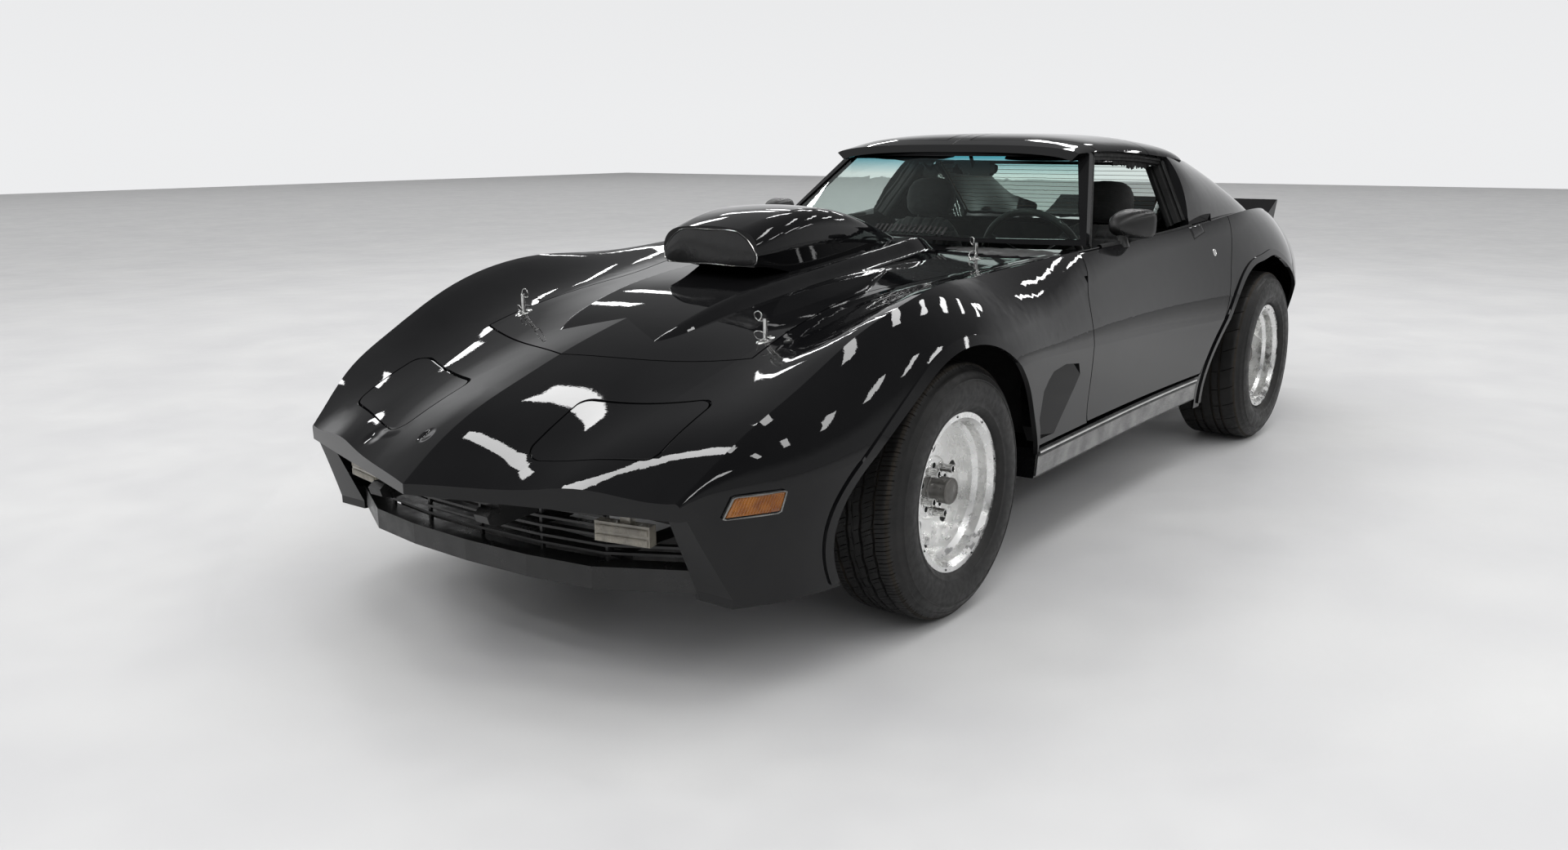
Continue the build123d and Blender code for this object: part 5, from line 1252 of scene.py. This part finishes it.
# Place of each dial, its radius in millimetres and the number of its marks
bezels, faces, marks, needles, covers = Shape(), Shape(), Shape(), Shape(), Shape()
DIALS = [(0.250, 0.470, 0.748, 56, 24), (0.250, 0.290, 0.748, 56, 24),
         (0.196, 0.075, 0.668, 23, 12), (0.196, 0.000, 0.668, 23, 12),
         (0.196, -0.075, 0.668, 23, 12),
         (0.196, 0.040, 0.613, 23, 12), (0.196, -0.040, 0.613, 23, 12)]
for number, (x, y, z, radius, ticks) in enumerate(DIALS):
    seat = frame_at((x, y, z), (-1, 0, 0))
    bezels.turn([(radius + 5, -2), (radius + 5, 12), (radius + 3, 15), (radius + 0.5, 15),
                 (radius - 1, 12), (radius - 2, 3), (radius - 2, 0.5)], seat, 48)
    faces.turn([(radius - 1.5, 1.2), (0.01, 1.2)], seat, 48)
    covers.turn([(radius - 0.8, 11.2), (radius * 0.5, 12.1), (0.01, 12.4)], seat, 48)
    for k in range(ticks + 1):
        a = math.radians(225 - 270 * k / ticks)
        long = 0.17 if k % 4 == 0 else 0.10
        at = seat @ Matrix.Rotation(a, 4, "Z") @ Matrix.Translation((radius * (0.90 - long / 2), 0,
                                                                      1.6))
        marks.block((radius * long, 0.9 if k % 4 else 1.6, 0.6), at, 0.2)
    a = math.radians(225 - (20 if number < 2 else 120 + 12 * number))
    hand = seat @ Matrix.Rotation(a, 4, "Z") @ Matrix.Translation((radius * 0.28, 0, 4.2))
    needles.block((radius * 0.84, 1.6, 0.8), hand, 0.3)
    needles.turn([(radius * 0.13, 2), (radius * 0.12, 5.6), (radius * 0.08, 6.6), (0.01, 6.8)],
                 seat, 20)
bezels.piece("dial_bezels", satin_black, "satin_black", "root", 40)
faces.piece("dial_faces", dial_face, "interior_black", "root", 40)
marks.piece("dial_marks", dial_white, "interior_black", "root", 40)
needles.piece("dial_needles", dial_red, "interior_black", "root", 40)
covers.piece("dial_covers", clear_cover, "clear_lens", "root", 40)

STACK_LOW, STACK_HIGH, STACK_HALF, STACK_FACE = 0.570, 0.706, 0.128, 0.206
outline = [(-STACK_HALF, STACK_LOW), (STACK_HALF, STACK_LOW), (STACK_HALF, STACK_HIGH - 0.02),
           (STACK_HALF - 0.02, STACK_HIGH), (-STACK_HALF + 0.02, STACK_HIGH),
           (-STACK_HALF, STACK_HIGH - 0.02)]
rows = [[(x, y * grow, STACK_LOW + (z - STACK_LOW) * grow) for y, z in outline]
        for x, grow in ((0.296, 1.0), (STACK_FACE + 0.008, 1.0), (STACK_FACE, 0.975),
                        (STACK_FACE - 0.002, 0.955))]
Shape().grid(rows, wrap=True).cap(rows[0]).cap(rows[-1]).piece(
    "gauge_stack", satin_black, "satin_black", "root", 40)

vents, knobs = Shape(), Shape()
for y, z, wide, tall in ((0.575, 0.775, 0.060, 0.042), (-0.575, 0.775, 0.060, 0.042),
                         (0.0, 0.760, 0.170, 0.034)):
    for end in (-1, 1):
        vents.block((0.012, wide + 0.012, 0.005),
                    Matrix.Translation((0.247, y, z + end * (tall / 2 + 0.004))), 0.001)
        vents.block((0.012, 0.005, tall + 0.012),
                    Matrix.Translation((0.247, y + end * (wide / 2 + 0.004), z)), 0.001)
    for k in range(5):
        tilt = Matrix.Rotation(math.radians(28), 4, "Y")
        vents.block((0.012, wide, 0.0016),
                    Matrix.Translation((0.246, y, z - tall / 2 + tall * (k + 0.5) / 5)) @ tilt,
                    0.0005)
for spot in ((STACK_FACE, 0.095, 0.585), (STACK_FACE, -0.095, 0.585), (0.250, 0.16, 0.70),
             (0.250, 0.60, 0.70), (0.330, 0.56, 0.66)):
    knobs.turn([(11, 0), (11, 2), (8.5, 3), (8.0, 14), (7.0, 15.4), (0.01, 15.8)],
               frame_at(spot, (-1, 0, 0)), 24)
vents.piece("dash_vents", satin_black, "satin_black", "root", 40)
knobs.piece("dash_knobs", satin_black, "satin_black", "root", 40)
pockets = Shape()
POCKET_LOW, POCKET_HIGH = 0.705, 0.742
for y in (-0.20, -0.36, -0.52):
    place = Matrix.Translation((0.243, y, (POCKET_LOW + POCKET_HIGH) / 2))
    pockets.block((0.014, 0.140, POCKET_HIGH - POCKET_LOW), place, 0.005)
    pockets.block((0.006, 0.128, 0.005),
                  Matrix.Translation((0.236, y, POCKET_HIGH - 0.002)), 0.002)
pockets.piece("dash_pockets", interior, "interior_black", "root", 40)


# ---- Steering wheel and pedals ----
# A leather-bound rim stitched on its inner side, a round horn cap screwed to the hub, and
# three hanging pedals with ribbed rubber pads.

leather = gloss_plastic("wheel_leather", (0.010, 0.010, 0.010), (0.020, 0.019, 0.018), 0.42,
                        0.00012, 700)
dress(leather, "interior_black", "steering_wheel")
thread = gloss_plastic("grey_thread", (0.05, 0.05, 0.05), (0.09, 0.09, 0.09), 0.8)
WHEEL_TILT, WHEEL_CENTRE = math.radians(20), (0, 0.380, 0.785)
wheel_axis = Vector((-math.cos(WHEEL_TILT), 0, math.sin(WHEEL_TILT)))
wheel_place = frame_at(WHEEL_CENTRE, wheel_axis)
STITCHES = 120
stitches = Shape()
for k in range(STITCHES):
    a = 2 * math.pi * k / STITCHES
    at = wheel_place @ Matrix.Rotation(a, 4, "Z") @ Matrix.Translation((172.4, 0, 0))
    stitches.block((1.4, 1.6, 5.2), at @ Matrix.Rotation(0.5, 4, "X"), 0.4)
stitches.piece("wheel_stitches", thread, "interior_black", "steering_wheel", 40)
horn = Shape().turn([(36, 8), (36, 22), (33, 26), (24, 28.5), (10, 29.4), (0.01, 29.6)],
                    wheel_place, 48)
horn.piece("horn_cap", satin_black, "satin_black", "steering_wheel", 40)
screws = Shape()
for k in range(6):
    a = math.radians(60 * k + 30)
    at = wheel_place @ Matrix.Translation((28 * math.cos(a), 28 * math.sin(a), 26.6))
    screws.turn([(2.8, -1), (2.6, 1.0), (1.6, 1.6), (0.01, 1.7)], at, 12)
screws.piece("horn_screws", bright_steel, "bright_steel", "steering_wheel", 40)
stalks, pedals, pedal_pads = Shape(), Shape(), Shape()
stalks.tube([(0.085, 0.412, 0.752), (0.080, 0.455, 0.758), (0.070, 0.520, 0.766),
             (0.064, 0.545, 0.768)], 0.0045, 12)
stalks.piece("turn_stalk", satin_black, "satin_black", "root", 60)
for y, wide, tall in ((0.300, 0.046, 0.120), (0.385, 0.074, 0.056), (0.475, 0.074, 0.056)):
    foot = Vector((0.560, y, 0.415 if tall > 0.1 else 0.430))
    pedals.tube([(0.628, y, 0.660), (0.612, y, 0.560), (0.585, y, 0.480), foot + Vector(
        (0.006, 0, 0.0))], 0.0075, 10)
    tip = facing(foot, (-0.92, 0, 0.40))
    pedal_pads.block((wide, tall, 0.012), tip, 0.003)
    for k in range(6):
        at = tip @ Matrix.Translation((0, tall * ((k + 0.5) / 6 - 0.5), 0.0068))
        pedal_pads.block((wide * 0.86, tall * 0.07, 0.0034), at, 0.001)
pedals.piece("pedal_arms", chassis, "chassis_black", "root", 60)
pedal_pads.piece("pedal_pads", black_rubber, "black_rubber", "root", 40)


# ---- Console ----
# Between the seats stands the gear lever in a creased leather boot, with a round knob, and
# behind it the hand brake with its ribbed grip, an ash tray lid and a switch plate.

console = Shape()
rows = []
for x, half, top in ((0.285, 0.125, 0.566), (0.270, 0.128, 0.570), (0.100, 0.128, 0.570),
                     (-0.10, 0.128, 0.569), (-0.272, 0.128, 0.568), (-0.290, 0.120, 0.562)):
    rows.append([(x, half + 0.005, 0.555), (x, half, top - 0.003), (x, half - 0.006, top),
                 (x, 6 * half / 8, top + 0.001), (x, 0, top + 0.002),
                 (x, -6 * half / 8, top + 0.001),
                 (x, -half + 0.006, top), (x, -half, top - 0.003), (x, -half - 0.005, 0.555)])
console.grid(rows).cap(rows[0]).cap(rows[-1])
console.piece("console_plate", satin_black, "satin_black", "root", 40)
boot = Shape()
rows = []
for k in range(33):
    share = k / 32
    size = 0.050 * (1 - share) ** 0.8 + 0.009
    size += 0.0035 * math.cos(share * 7 * 2 * math.pi) * (1 - share)
    ring = []
    for i in range(36):
        a = 2 * math.pi * i / 36
        c, s = math.cos(a), math.sin(a)
        square = 1 + (1 - share) * 0.22 * math.sin(2 * a) ** 2
        ring.append((0.055 + 1.15 * size * square * c - 0.010 * share, size * square * s + 0.018,
                     0.571 + 0.068 * share))
    rows.append(ring)
boot.grid(rows, wrap=True)
boot.piece("shifter_boot", leather, "interior_black", "root", 70)
lever = Shape().tube([(0.045, 0.018, 0.632), (0.040, 0.018, 0.668), (0.036, 0.018, 0.700)],
                     0.0055, 14)
lever.tube([(-0.190, -0.072, 0.560), (-0.150, -0.072, 0.600), (-0.090, -0.072, 0.622)], 0.008, 12)
lever.piece("shifter_rod", bright_steel, "bright_steel", "root", 60)
knob = Shape().turn([(7, -6), (12, 0), (20, 8), (23, 18), (22, 27), (16, 35), (8, 38.5),
                     (0.01, 39)], frame_at((0.036, 0.018, 0.695), (-0.1, 0, 1)), 36)
grip = Shape().tube([(-0.094, -0.072, 0.6215), (-0.020, -0.072, 0.634), (0.010, -0.072, 0.638)],
                    0.0135, 18)
for k in range(7):
    grip.turn([(13.0, -1.2), (14.6, -0.6), (14.6, 0.6), (13.0, 1.2)],
              frame_at((-0.085 + 0.013 * k, -0.072, 0.6230 + 0.0021 * k), (1, 0, 0.165)), 20)
knob.piece("shifter_knob", gloss_plastic("knob_black", (0.008, 0.008, 0.008),
                                         (0.014, 0.014, 0.014), 0.22), "satin_black", "root", 40)
grip.piece("handbrake_grip", black_rubber, "black_rubber", "root", 40)
lids = Shape()
lids.block((0.075, 0.150, 0.008), Matrix.Translation((0.200, 0.0, 0.5745)), 0.003)
lids.block((0.110, 0.090, 0.008), Matrix.Translation((-0.215, 0.060, 0.5745)), 0.003)
for k in range(4):
    lids.block((0.022, 0.014, 0.012),
               Matrix.Translation((0.130, -0.090 + 0.024 * k + 0.05, 0.5765)), 0.002)
lids.piece("console_lids", interior, "interior_black", "root", 40)


# ---- Door panels ----
# Padded vinyl panels are clipped inside each door, with an arm rest, a grab handle, a latch
# lever, a speaker and carpet along the foot. They swing with the doors.

panel_vinyl = satin("door_panel_vinyl", (0.010, 0.010, 0.010), (0.018, 0.018, 0.018), 0.55, 90)
carpet = satin("black_carpet", (0.008, 0.008, 0.008), (0.024, 0.023, 0.022), 0.92, 260, 0.0018)
dress(carpet, "interior_black", "cabin_tub", "luggage_shelf")


DOOR_INNER = 0.6915         # y of the door's inner sheet
PANEL_FACE = 0.6790         # y where handles and speaker are screwed on


def door_pad(points, side, inner, depth):
    """Panel with rolled edges: points outline it in x and z, depth is how far it stands in."""
    middle = Vector((sum(p[0] for p in points) / len(points), 0,
                     sum(p[1] for p in points) / len(points)))
    rows = []
    for share, out in ((0.0, 0.0), (0.0, 0.5), (0.010, 0.85), (0.026, 1.0), (0.060, 1.0)):
        row = []
        for x, z in points:
            at = Vector((x, 0, z))
            at = at + (middle - at).normalized() * share
            row.append((at.x, side * (inner - depth * out), at.z))
        rows.append(row)
    return rows


def rounded_outline(corners, cut=0.12):
    outline = []
    for i, corner in enumerate(corners):
        corner = Vector(corner)
        before, after = Vector(corners[i - 1]), Vector(corners[(i + 1) % len(corners)])
        for other, turn in ((before, 0), (after, 1)):
            outline.append(corner.lerp(other, cut))
            if not turn:
                outline.append((corner.lerp(before, cut * 0.3) + corner.lerp(after, cut * 0.3)) / 2)
    return outline


for side, word in ((1, "left"), (-1, "right")):
    body = f"door_{word}"
    panel = Shape()
    outline = rounded_outline([(0.470, 0.455), (0.500, 0.790), (0.100, 0.835), (-0.480, 0.850),
                               (-0.600, 0.800), (-0.600, 0.455)], 0.06)
    rows = door_pad([tuple(p) for p in outline], side, DOOR_INNER, 0.014)
    panel.grid(rows, wrap=True).cap(rows[-1])
    panel.piece(f"door_panel_{word}", panel_vinyl, "interior_black", body, 50)
    kick = Shape()
    outline = rounded_outline([(0.455, 0.372), (0.465, 0.448), (-0.598, 0.448), (-0.590, 0.372)],
                              0.06)
    rows = door_pad([tuple(p) for p in outline], side, DOOR_INNER, 0.010)
    kick.grid(rows, wrap=True).cap(rows[-1])
    kick.piece(f"door_carpet_{word}", carpet, "interior_black", body, 50)
    rest = Shape()
    rows = []
    for x, wide, rise in ((0.060, 0.010, 0.0), (0.040, 0.026, 0.004), (-0.080, 0.040, 0.006),
                          (-0.300, 0.044, 0.004), (-0.420, 0.036, 0.0), (-0.450, 0.016, -0.004)):
        y = side * 0.6780
        rows.append([(x, y, 0.560), (x, y - side * wide * 0.7, 0.566 + rise),
                     (x, y - side * wide, 0.580 + rise), (x, y - side * wide, 0.606 + rise),
                     (x, y - side * wide * 0.7, 0.618 + rise), (x, y, 0.622 + rise)])
    rest.grid(rows).cap(rows[0]).cap(rows[-1])
    rest.piece(f"arm_rest_{word}", panel_vinyl, "interior_black", body, 60)
    handle = Shape().tube([(0.180, side * 0.680, 0.700), (0.178, side * 0.652, 0.702),
                           (0.120, side * 0.644, 0.712), (0.010, side * 0.644, 0.722),
                           (-0.040, side * 0.652, 0.724), (-0.042, side * 0.680, 0.724)],
                          0.0075, 14)
    handle.piece(f"grab_handle_{word}", satin_black, "satin_black", body, 60)
    latch = Shape().turn([(26, -1), (26, 2), (22, 5), (10, 7), (0.01, 7.2)],
                         frame_at((0.255, side * PANEL_FACE, 0.660), (0, -side, 0)), 32)
    latch.block((70, 12, 6), frame_at((0.225, side * 0.6700, 0.660), (0, -side, 0)), 2.5)
    latch.piece(f"latch_lever_{word}", bright_steel, "bright_steel", body, 40)
    speaker = Shape().turn([(64, -1), (64, 3), (60, 5), (57, 4), (40, 4.4), (20, 4.8), (0.01, 5)],
                           frame_at((0.370, side * PANEL_FACE, 0.560), (0, -side, 0)), 40)
    for ring in (14, 26, 38, 50):
        speaker.turn([(ring + 2, 4.4), (ring + 1.4, 6.4), (ring - 1.4, 6.4), (ring - 2, 4.4)],
                     frame_at((0.370, side * PANEL_FACE, 0.560), (0, -side, 0)), 40)
    speaker.piece(f"door_speaker_{word}", satin_black, "satin_black", body, 30)


# ---- Mirror glass and visors ----
# The inside mirror is a slim black case with silvered glass behind. Two padded visors lie folded up
# against the header.

mirror_seat = facing((-0.262, 0, 1.093), Matrix.Rotation(math.radians(-20), 3, "Y")
                     @ Vector((-1, 0, 0)))
glass = Shape()
rows = []
for depth, grow in ((0.0112, 1.0), (0.0124, 0.985)):
    ring = []
    for k in range(48):
        a = 2 * math.pi * k / 48
        c, s = math.cos(a), math.sin(a)
        ring.append(mirror_seat @ Vector((0.094 * grow * math.copysign(abs(c) ** 0.35, c),
                                          0.0215 * grow * math.copysign(abs(s) ** 0.6, s),
                                          depth)))
    rows.append(ring)
glass.grid(rows, wrap=True).cap(rows[-1])
glass.piece("inside_mirror_glass", silver, "window_glass", "root", 30)

for side, word in ((1, "left"), (-1, "right")):
    lean = Vector((-0.150, 0, 0.012)).normalized()
    out = Vector((lean.z, 0, -lean.x))
    foot = Vector((-0.240, side * 0.275, 1.128))
    rings = []
    for s, wide, thick, square in ((0.0, 0.120, 0.003, 2.2), (0.004, 0.140, 0.007, 3.0),
                                   (0.030, 0.152, 0.009, 4.0), (0.095, 0.152, 0.009, 4.0),
                                   (0.122, 0.140, 0.007, 3.0), (0.128, 0.120, 0.003, 2.2)):
        rings.append((foot + lean * s, wide, thick, square))
    visor = pad_shape(rings, out, 0.0).piece(f"sun_visor_{word}", panel_vinyl, "interior_black",
                                             "root", 180)


# ---- Tail ----
# Four round red lamps in bright rings are screwed into the soft tail. Between them a recess
# holds the blank number plate, and two oval exhaust tips come out under the corners.

red_lens = lens("red_lens", (0.34, 0.004, 0.003), (0.16, 0.002, 0.002), 0.10, 0.15, 500)
dress(red_lens, "red_lens", "tail_lamps")
rings, lamps = Shape(), Shape()
TAIL_LAMP_FACE, TAIL_LAMP_HEIGHT = -2.338, 0.640
for y in (0.300, 0.480, -0.300, -0.480):
    seat = frame_at((TAIL_LAMP_FACE, y, TAIL_LAMP_HEIGHT), (-1, 0, 0))
    rings.turn([(61.5, -2.0), (61.5, 3.0), (60.0, 5.2), (57.2, 5.4), (55.4, 3.6), (55.0, -0.5)],
               seat, 56)
    profile = [(54.6, 0.2)]
    for k in range(9):
        radius = 52 - 5.4 * k
        profile += [(radius, 2.8 + 0.1 * k), (radius - 2.2, 3.6 + 0.1 * k),
                    (radius - 3.6, 2.8 + 0.1 * k)]
    profile += [(4, 4.4), (0.01, 4.6)]
    lamps.turn(profile, seat, 56)
rings.piece("tail_lamp_rings", bright_steel, "bright_steel", "root", 40)
lamps.piece("tail_lamp_lenses", red_lens, "red_lens", "root", 25)

plate_black = gloss_plastic("plate_black", (0.012, 0.012, 0.012), (0.020, 0.020, 0.020), 0.4)
plate = Shape()
plate_at = facing(Vector((-2.3465, 0, 0.482)), (-1, 0, 0))
plate.block((0.300, 0.150, 0.0016), plate_at, 0.0006)
plate.block((0.308, 0.012, 0.006), plate_at @ Matrix.Translation((0, 0.073, -0.002)), 0.002)
for x in (-0.089, 0.089):
    plate.block((0.020, 0.006, 0.005), plate_at @ Matrix.Translation((x, 0.066, 0.003)), 0.0015)
plate.piece("number_plate_blank", plate_black, "satin_black", "root", 40)
# A flat panel closes the recess behind the plate
rows = [[(x, y, z) for y, z in ((half, 0.462), (half, 0.568), (-half, 0.568), (-half, 0.462))]
        for x, half in ((-2.3435, 0.172), (-2.3395, 0.172))]
Shape().grid(rows, wrap=True).cap(rows[0]).cap(rows[1]).piece(
    "number_plate_tray", plate_black, "satin_black", "root", 40)

pipe_steel = metal("exhaust_steel", (0.060, 0.056, 0.050), (0.12, 0.112, 0.10), 0.42, 0.00004)
mufflers, tips = Shape(), Shape()
for side in (1, -1):
    rows = []
    for x, y, wide, tall in ((-1.500, 0.470, 24, 24), (-1.560, 0.500, 26, 26),
                             (-1.600, 0.520, 70, 42), (-1.640, 0.530, 92, 50),
                             (-1.980, 0.545, 92, 50), (-2.020, 0.548, 70, 42),
                             (-2.050, 0.550, 30, 26), (-2.120, 0.552, 27, 24)):
        rows.append([(x, side * (y + wide / 1000 * math.cos(a)), 0.232 + tall / 1000 * math.sin(a))
                     for a in (2 * math.pi * k / 40 for k in range(40))])
    mufflers.grid(rows, wrap=True).cap(rows[0]).cap(rows[-1])
    rows = []
    for x, grow in ((-2.100, 1.0), (-2.190, 1.06), (-2.252, 1.14), (-2.256, 1.14),
                    (-2.256, 1.06), (-2.250, 1.02), (-2.190, 0.96), (-2.110, 0.90)):
        rows.append([(x - 0.004 * math.sin(a), side * (0.552 + 0.040 * grow * math.cos(a)),
                      0.232 + 0.027 * grow * math.sin(a))
                     for a in (2 * math.pi * k / 40 for k in range(40))])
    tips.grid(rows, wrap=True).cap(rows[-1])
mufflers.piece("exhaust_mufflers", pipe_steel, "bright_steel", "root", 50)
tips.piece("exhaust_tips", polished, "polished_aluminium", "root", 50)


# ---- Headlamp faces ----
# Each lid carries a pair of sealed round lamps in bright rings. Clips and screws hold the
# fluted glass, and the pair swings out from under the nose with its lid.

lamp_glass = lens("headlamp_glass", (0.90, 0.91, 0.90), (0.80, 0.81, 0.80), 0.04, 0.75, 200)
reflector = metal("lamp_reflector", (0.72, 0.72, 0.70), (0.84, 0.84, 0.82), 0.22)
LID_PIVOT, LID_RISE = Vector((1.838, 0, 0.619)), math.radians(40)
LAMP_FACES = ((2.077, 0.448), (2.122, 0.292))       # x, y of the rims with the lid up
# The lamps face ahead once the lid is up, and look down at the ground when it is shut
shut = (Matrix.Translation(LID_PIVOT) @ Matrix.Rotation(LID_RISE, 4, "Y")
        @ Matrix.Translation(-LID_PIVOT))
for side, word in ((1, "left"), (-1, "right")):
    body = f"headlamp_{word}"
    bright, front, back = Shape(), Shape(), Shape()
    for x, y in LAMP_FACES:
        seat = shut @ frame_at((x - 0.0118, side * y, LID_PIVOT.z), (1, 0, 0))
        bright.turn([(68.6, 0.5), (68.6, 11), (67, 12.8), (64, 13), (62, 11), (61.5, 1)], seat, 56)
        back.turn([(61, 1.0), (50, 0.7), (0.01, 0.4)], seat, 48)
        face = [(61.3, 6.0), (60, 9.0)]
        face += [(60 - 5 * k, 9.0 + 3.2 * math.sqrt(k / 12)) for k in range(1, 12)] + [(0.01, 12.2)]
        front.turn(face, seat, 56)
        for turn in range(3):
            a = math.radians(90 + 120 * turn)
            at = seat @ Matrix.Translation((65.5 * math.cos(a), 65.5 * math.sin(a), 12.8))
            bright.turn([(2.6, -0.5), (2.4, 1.0), (1.4, 1.6), (0.01, 1.7)], at, 12)
    bright.piece(f"lamp_rings_{word}", bright_steel, "bright_steel", body, 40)
    front.piece(f"lamp_glass_{word}", lamp_glass, "clear_lens", body, 40)
    back.piece(f"lamp_reflector_{word}", reflector, "bright_steel", body, 40)


# ---- Engine top ----
# A cast iron block carries two bolted, finned rocker covers and a wide low air cleaner held
# by a wing nut. Behind it stands the distributor, with its cap clipped on.

cast = satin("engine_paint", (0.030, 0.030, 0.032), (0.055, 0.055, 0.056), 0.5, 40, 0.0005)
dress(cast, "chassis_black", "engine")
rib_metal = metal("cast_aluminium", (0.42, 0.42, 0.41), (0.58, 0.58, 0.57), 0.38, 0.0001)
covers = Shape()
for side in (1, -1):
    lean = Matrix.Translation((1.090, side * 0.205, 0.746)) @ Matrix.Rotation(
        math.radians(-16 * side), 4, "X")
    covers.block((0.560, 0.110, 0.012), lean, 0.004)
    covers.block((0.530, 0.088, 0.050), lean @ Matrix.Translation((0, 0, -0.002)), 0.012)
    for k in range(7):
        covers.block((0.500, 0.003, 0.010),
                     lean @ Matrix.Translation((0, -0.030 + 0.010 * k, 0.027)), 0.001)
    for x in (-0.21, -0.07, 0.07, 0.21):
        for y in (-0.050, 0.050):
            at = lean @ Matrix.Translation((x, y, 0.006)) @ Matrix.Diagonal((0.001, 0.001, 0.001,
                                                                              1))
            covers.turn([(6, 0), (6, 4), (5, 5.5), (0.01, 5.6)], at, 6)
covers.piece("rocker_covers", rib_metal, "polished_aluminium", "root", 40)
cleaner = Shape().turn([(60, 0.2), (60, 14), (150, 18), (160, 20), (160, 24), (152, 26),
                        (152, 48), (162, 50), (163, 53), (158, 56), (120, 61), (40, 63),
                        (38, 64.5), (9, 64.5), (9, 70), (4, 74), (0.01, 74.5)],
                       frame_at((1.050, 0, 0.7405), (0, 0, 1)), 72)
cleaner.piece("air_cleaner", satin_black, "satin_black", "root", 40)
cap = Shape().turn([(30, 0.2), (30, 8), (46, 12), (46, 24), (38, 42), (30, 46), (0.01, 46.5)],
                   frame_at((0.815, 0, 0.7405), (0, 0, 1)), 36)
CYLINDERS = 8
for k in range(CYLINDERS):
    a = 2 * math.pi * (k + 0.5) / CYLINDERS
    post = Vector((0.815 + 0.030 * math.cos(a), 0.030 * math.sin(a), 0.788))
    cap.turn([(6, -6), (6, 7), (0.01, 7.1)], frame_at(post, (0, 0, 1)), 14)
cap.piece("distributor", plug_black, "satin_black", "root", 40)
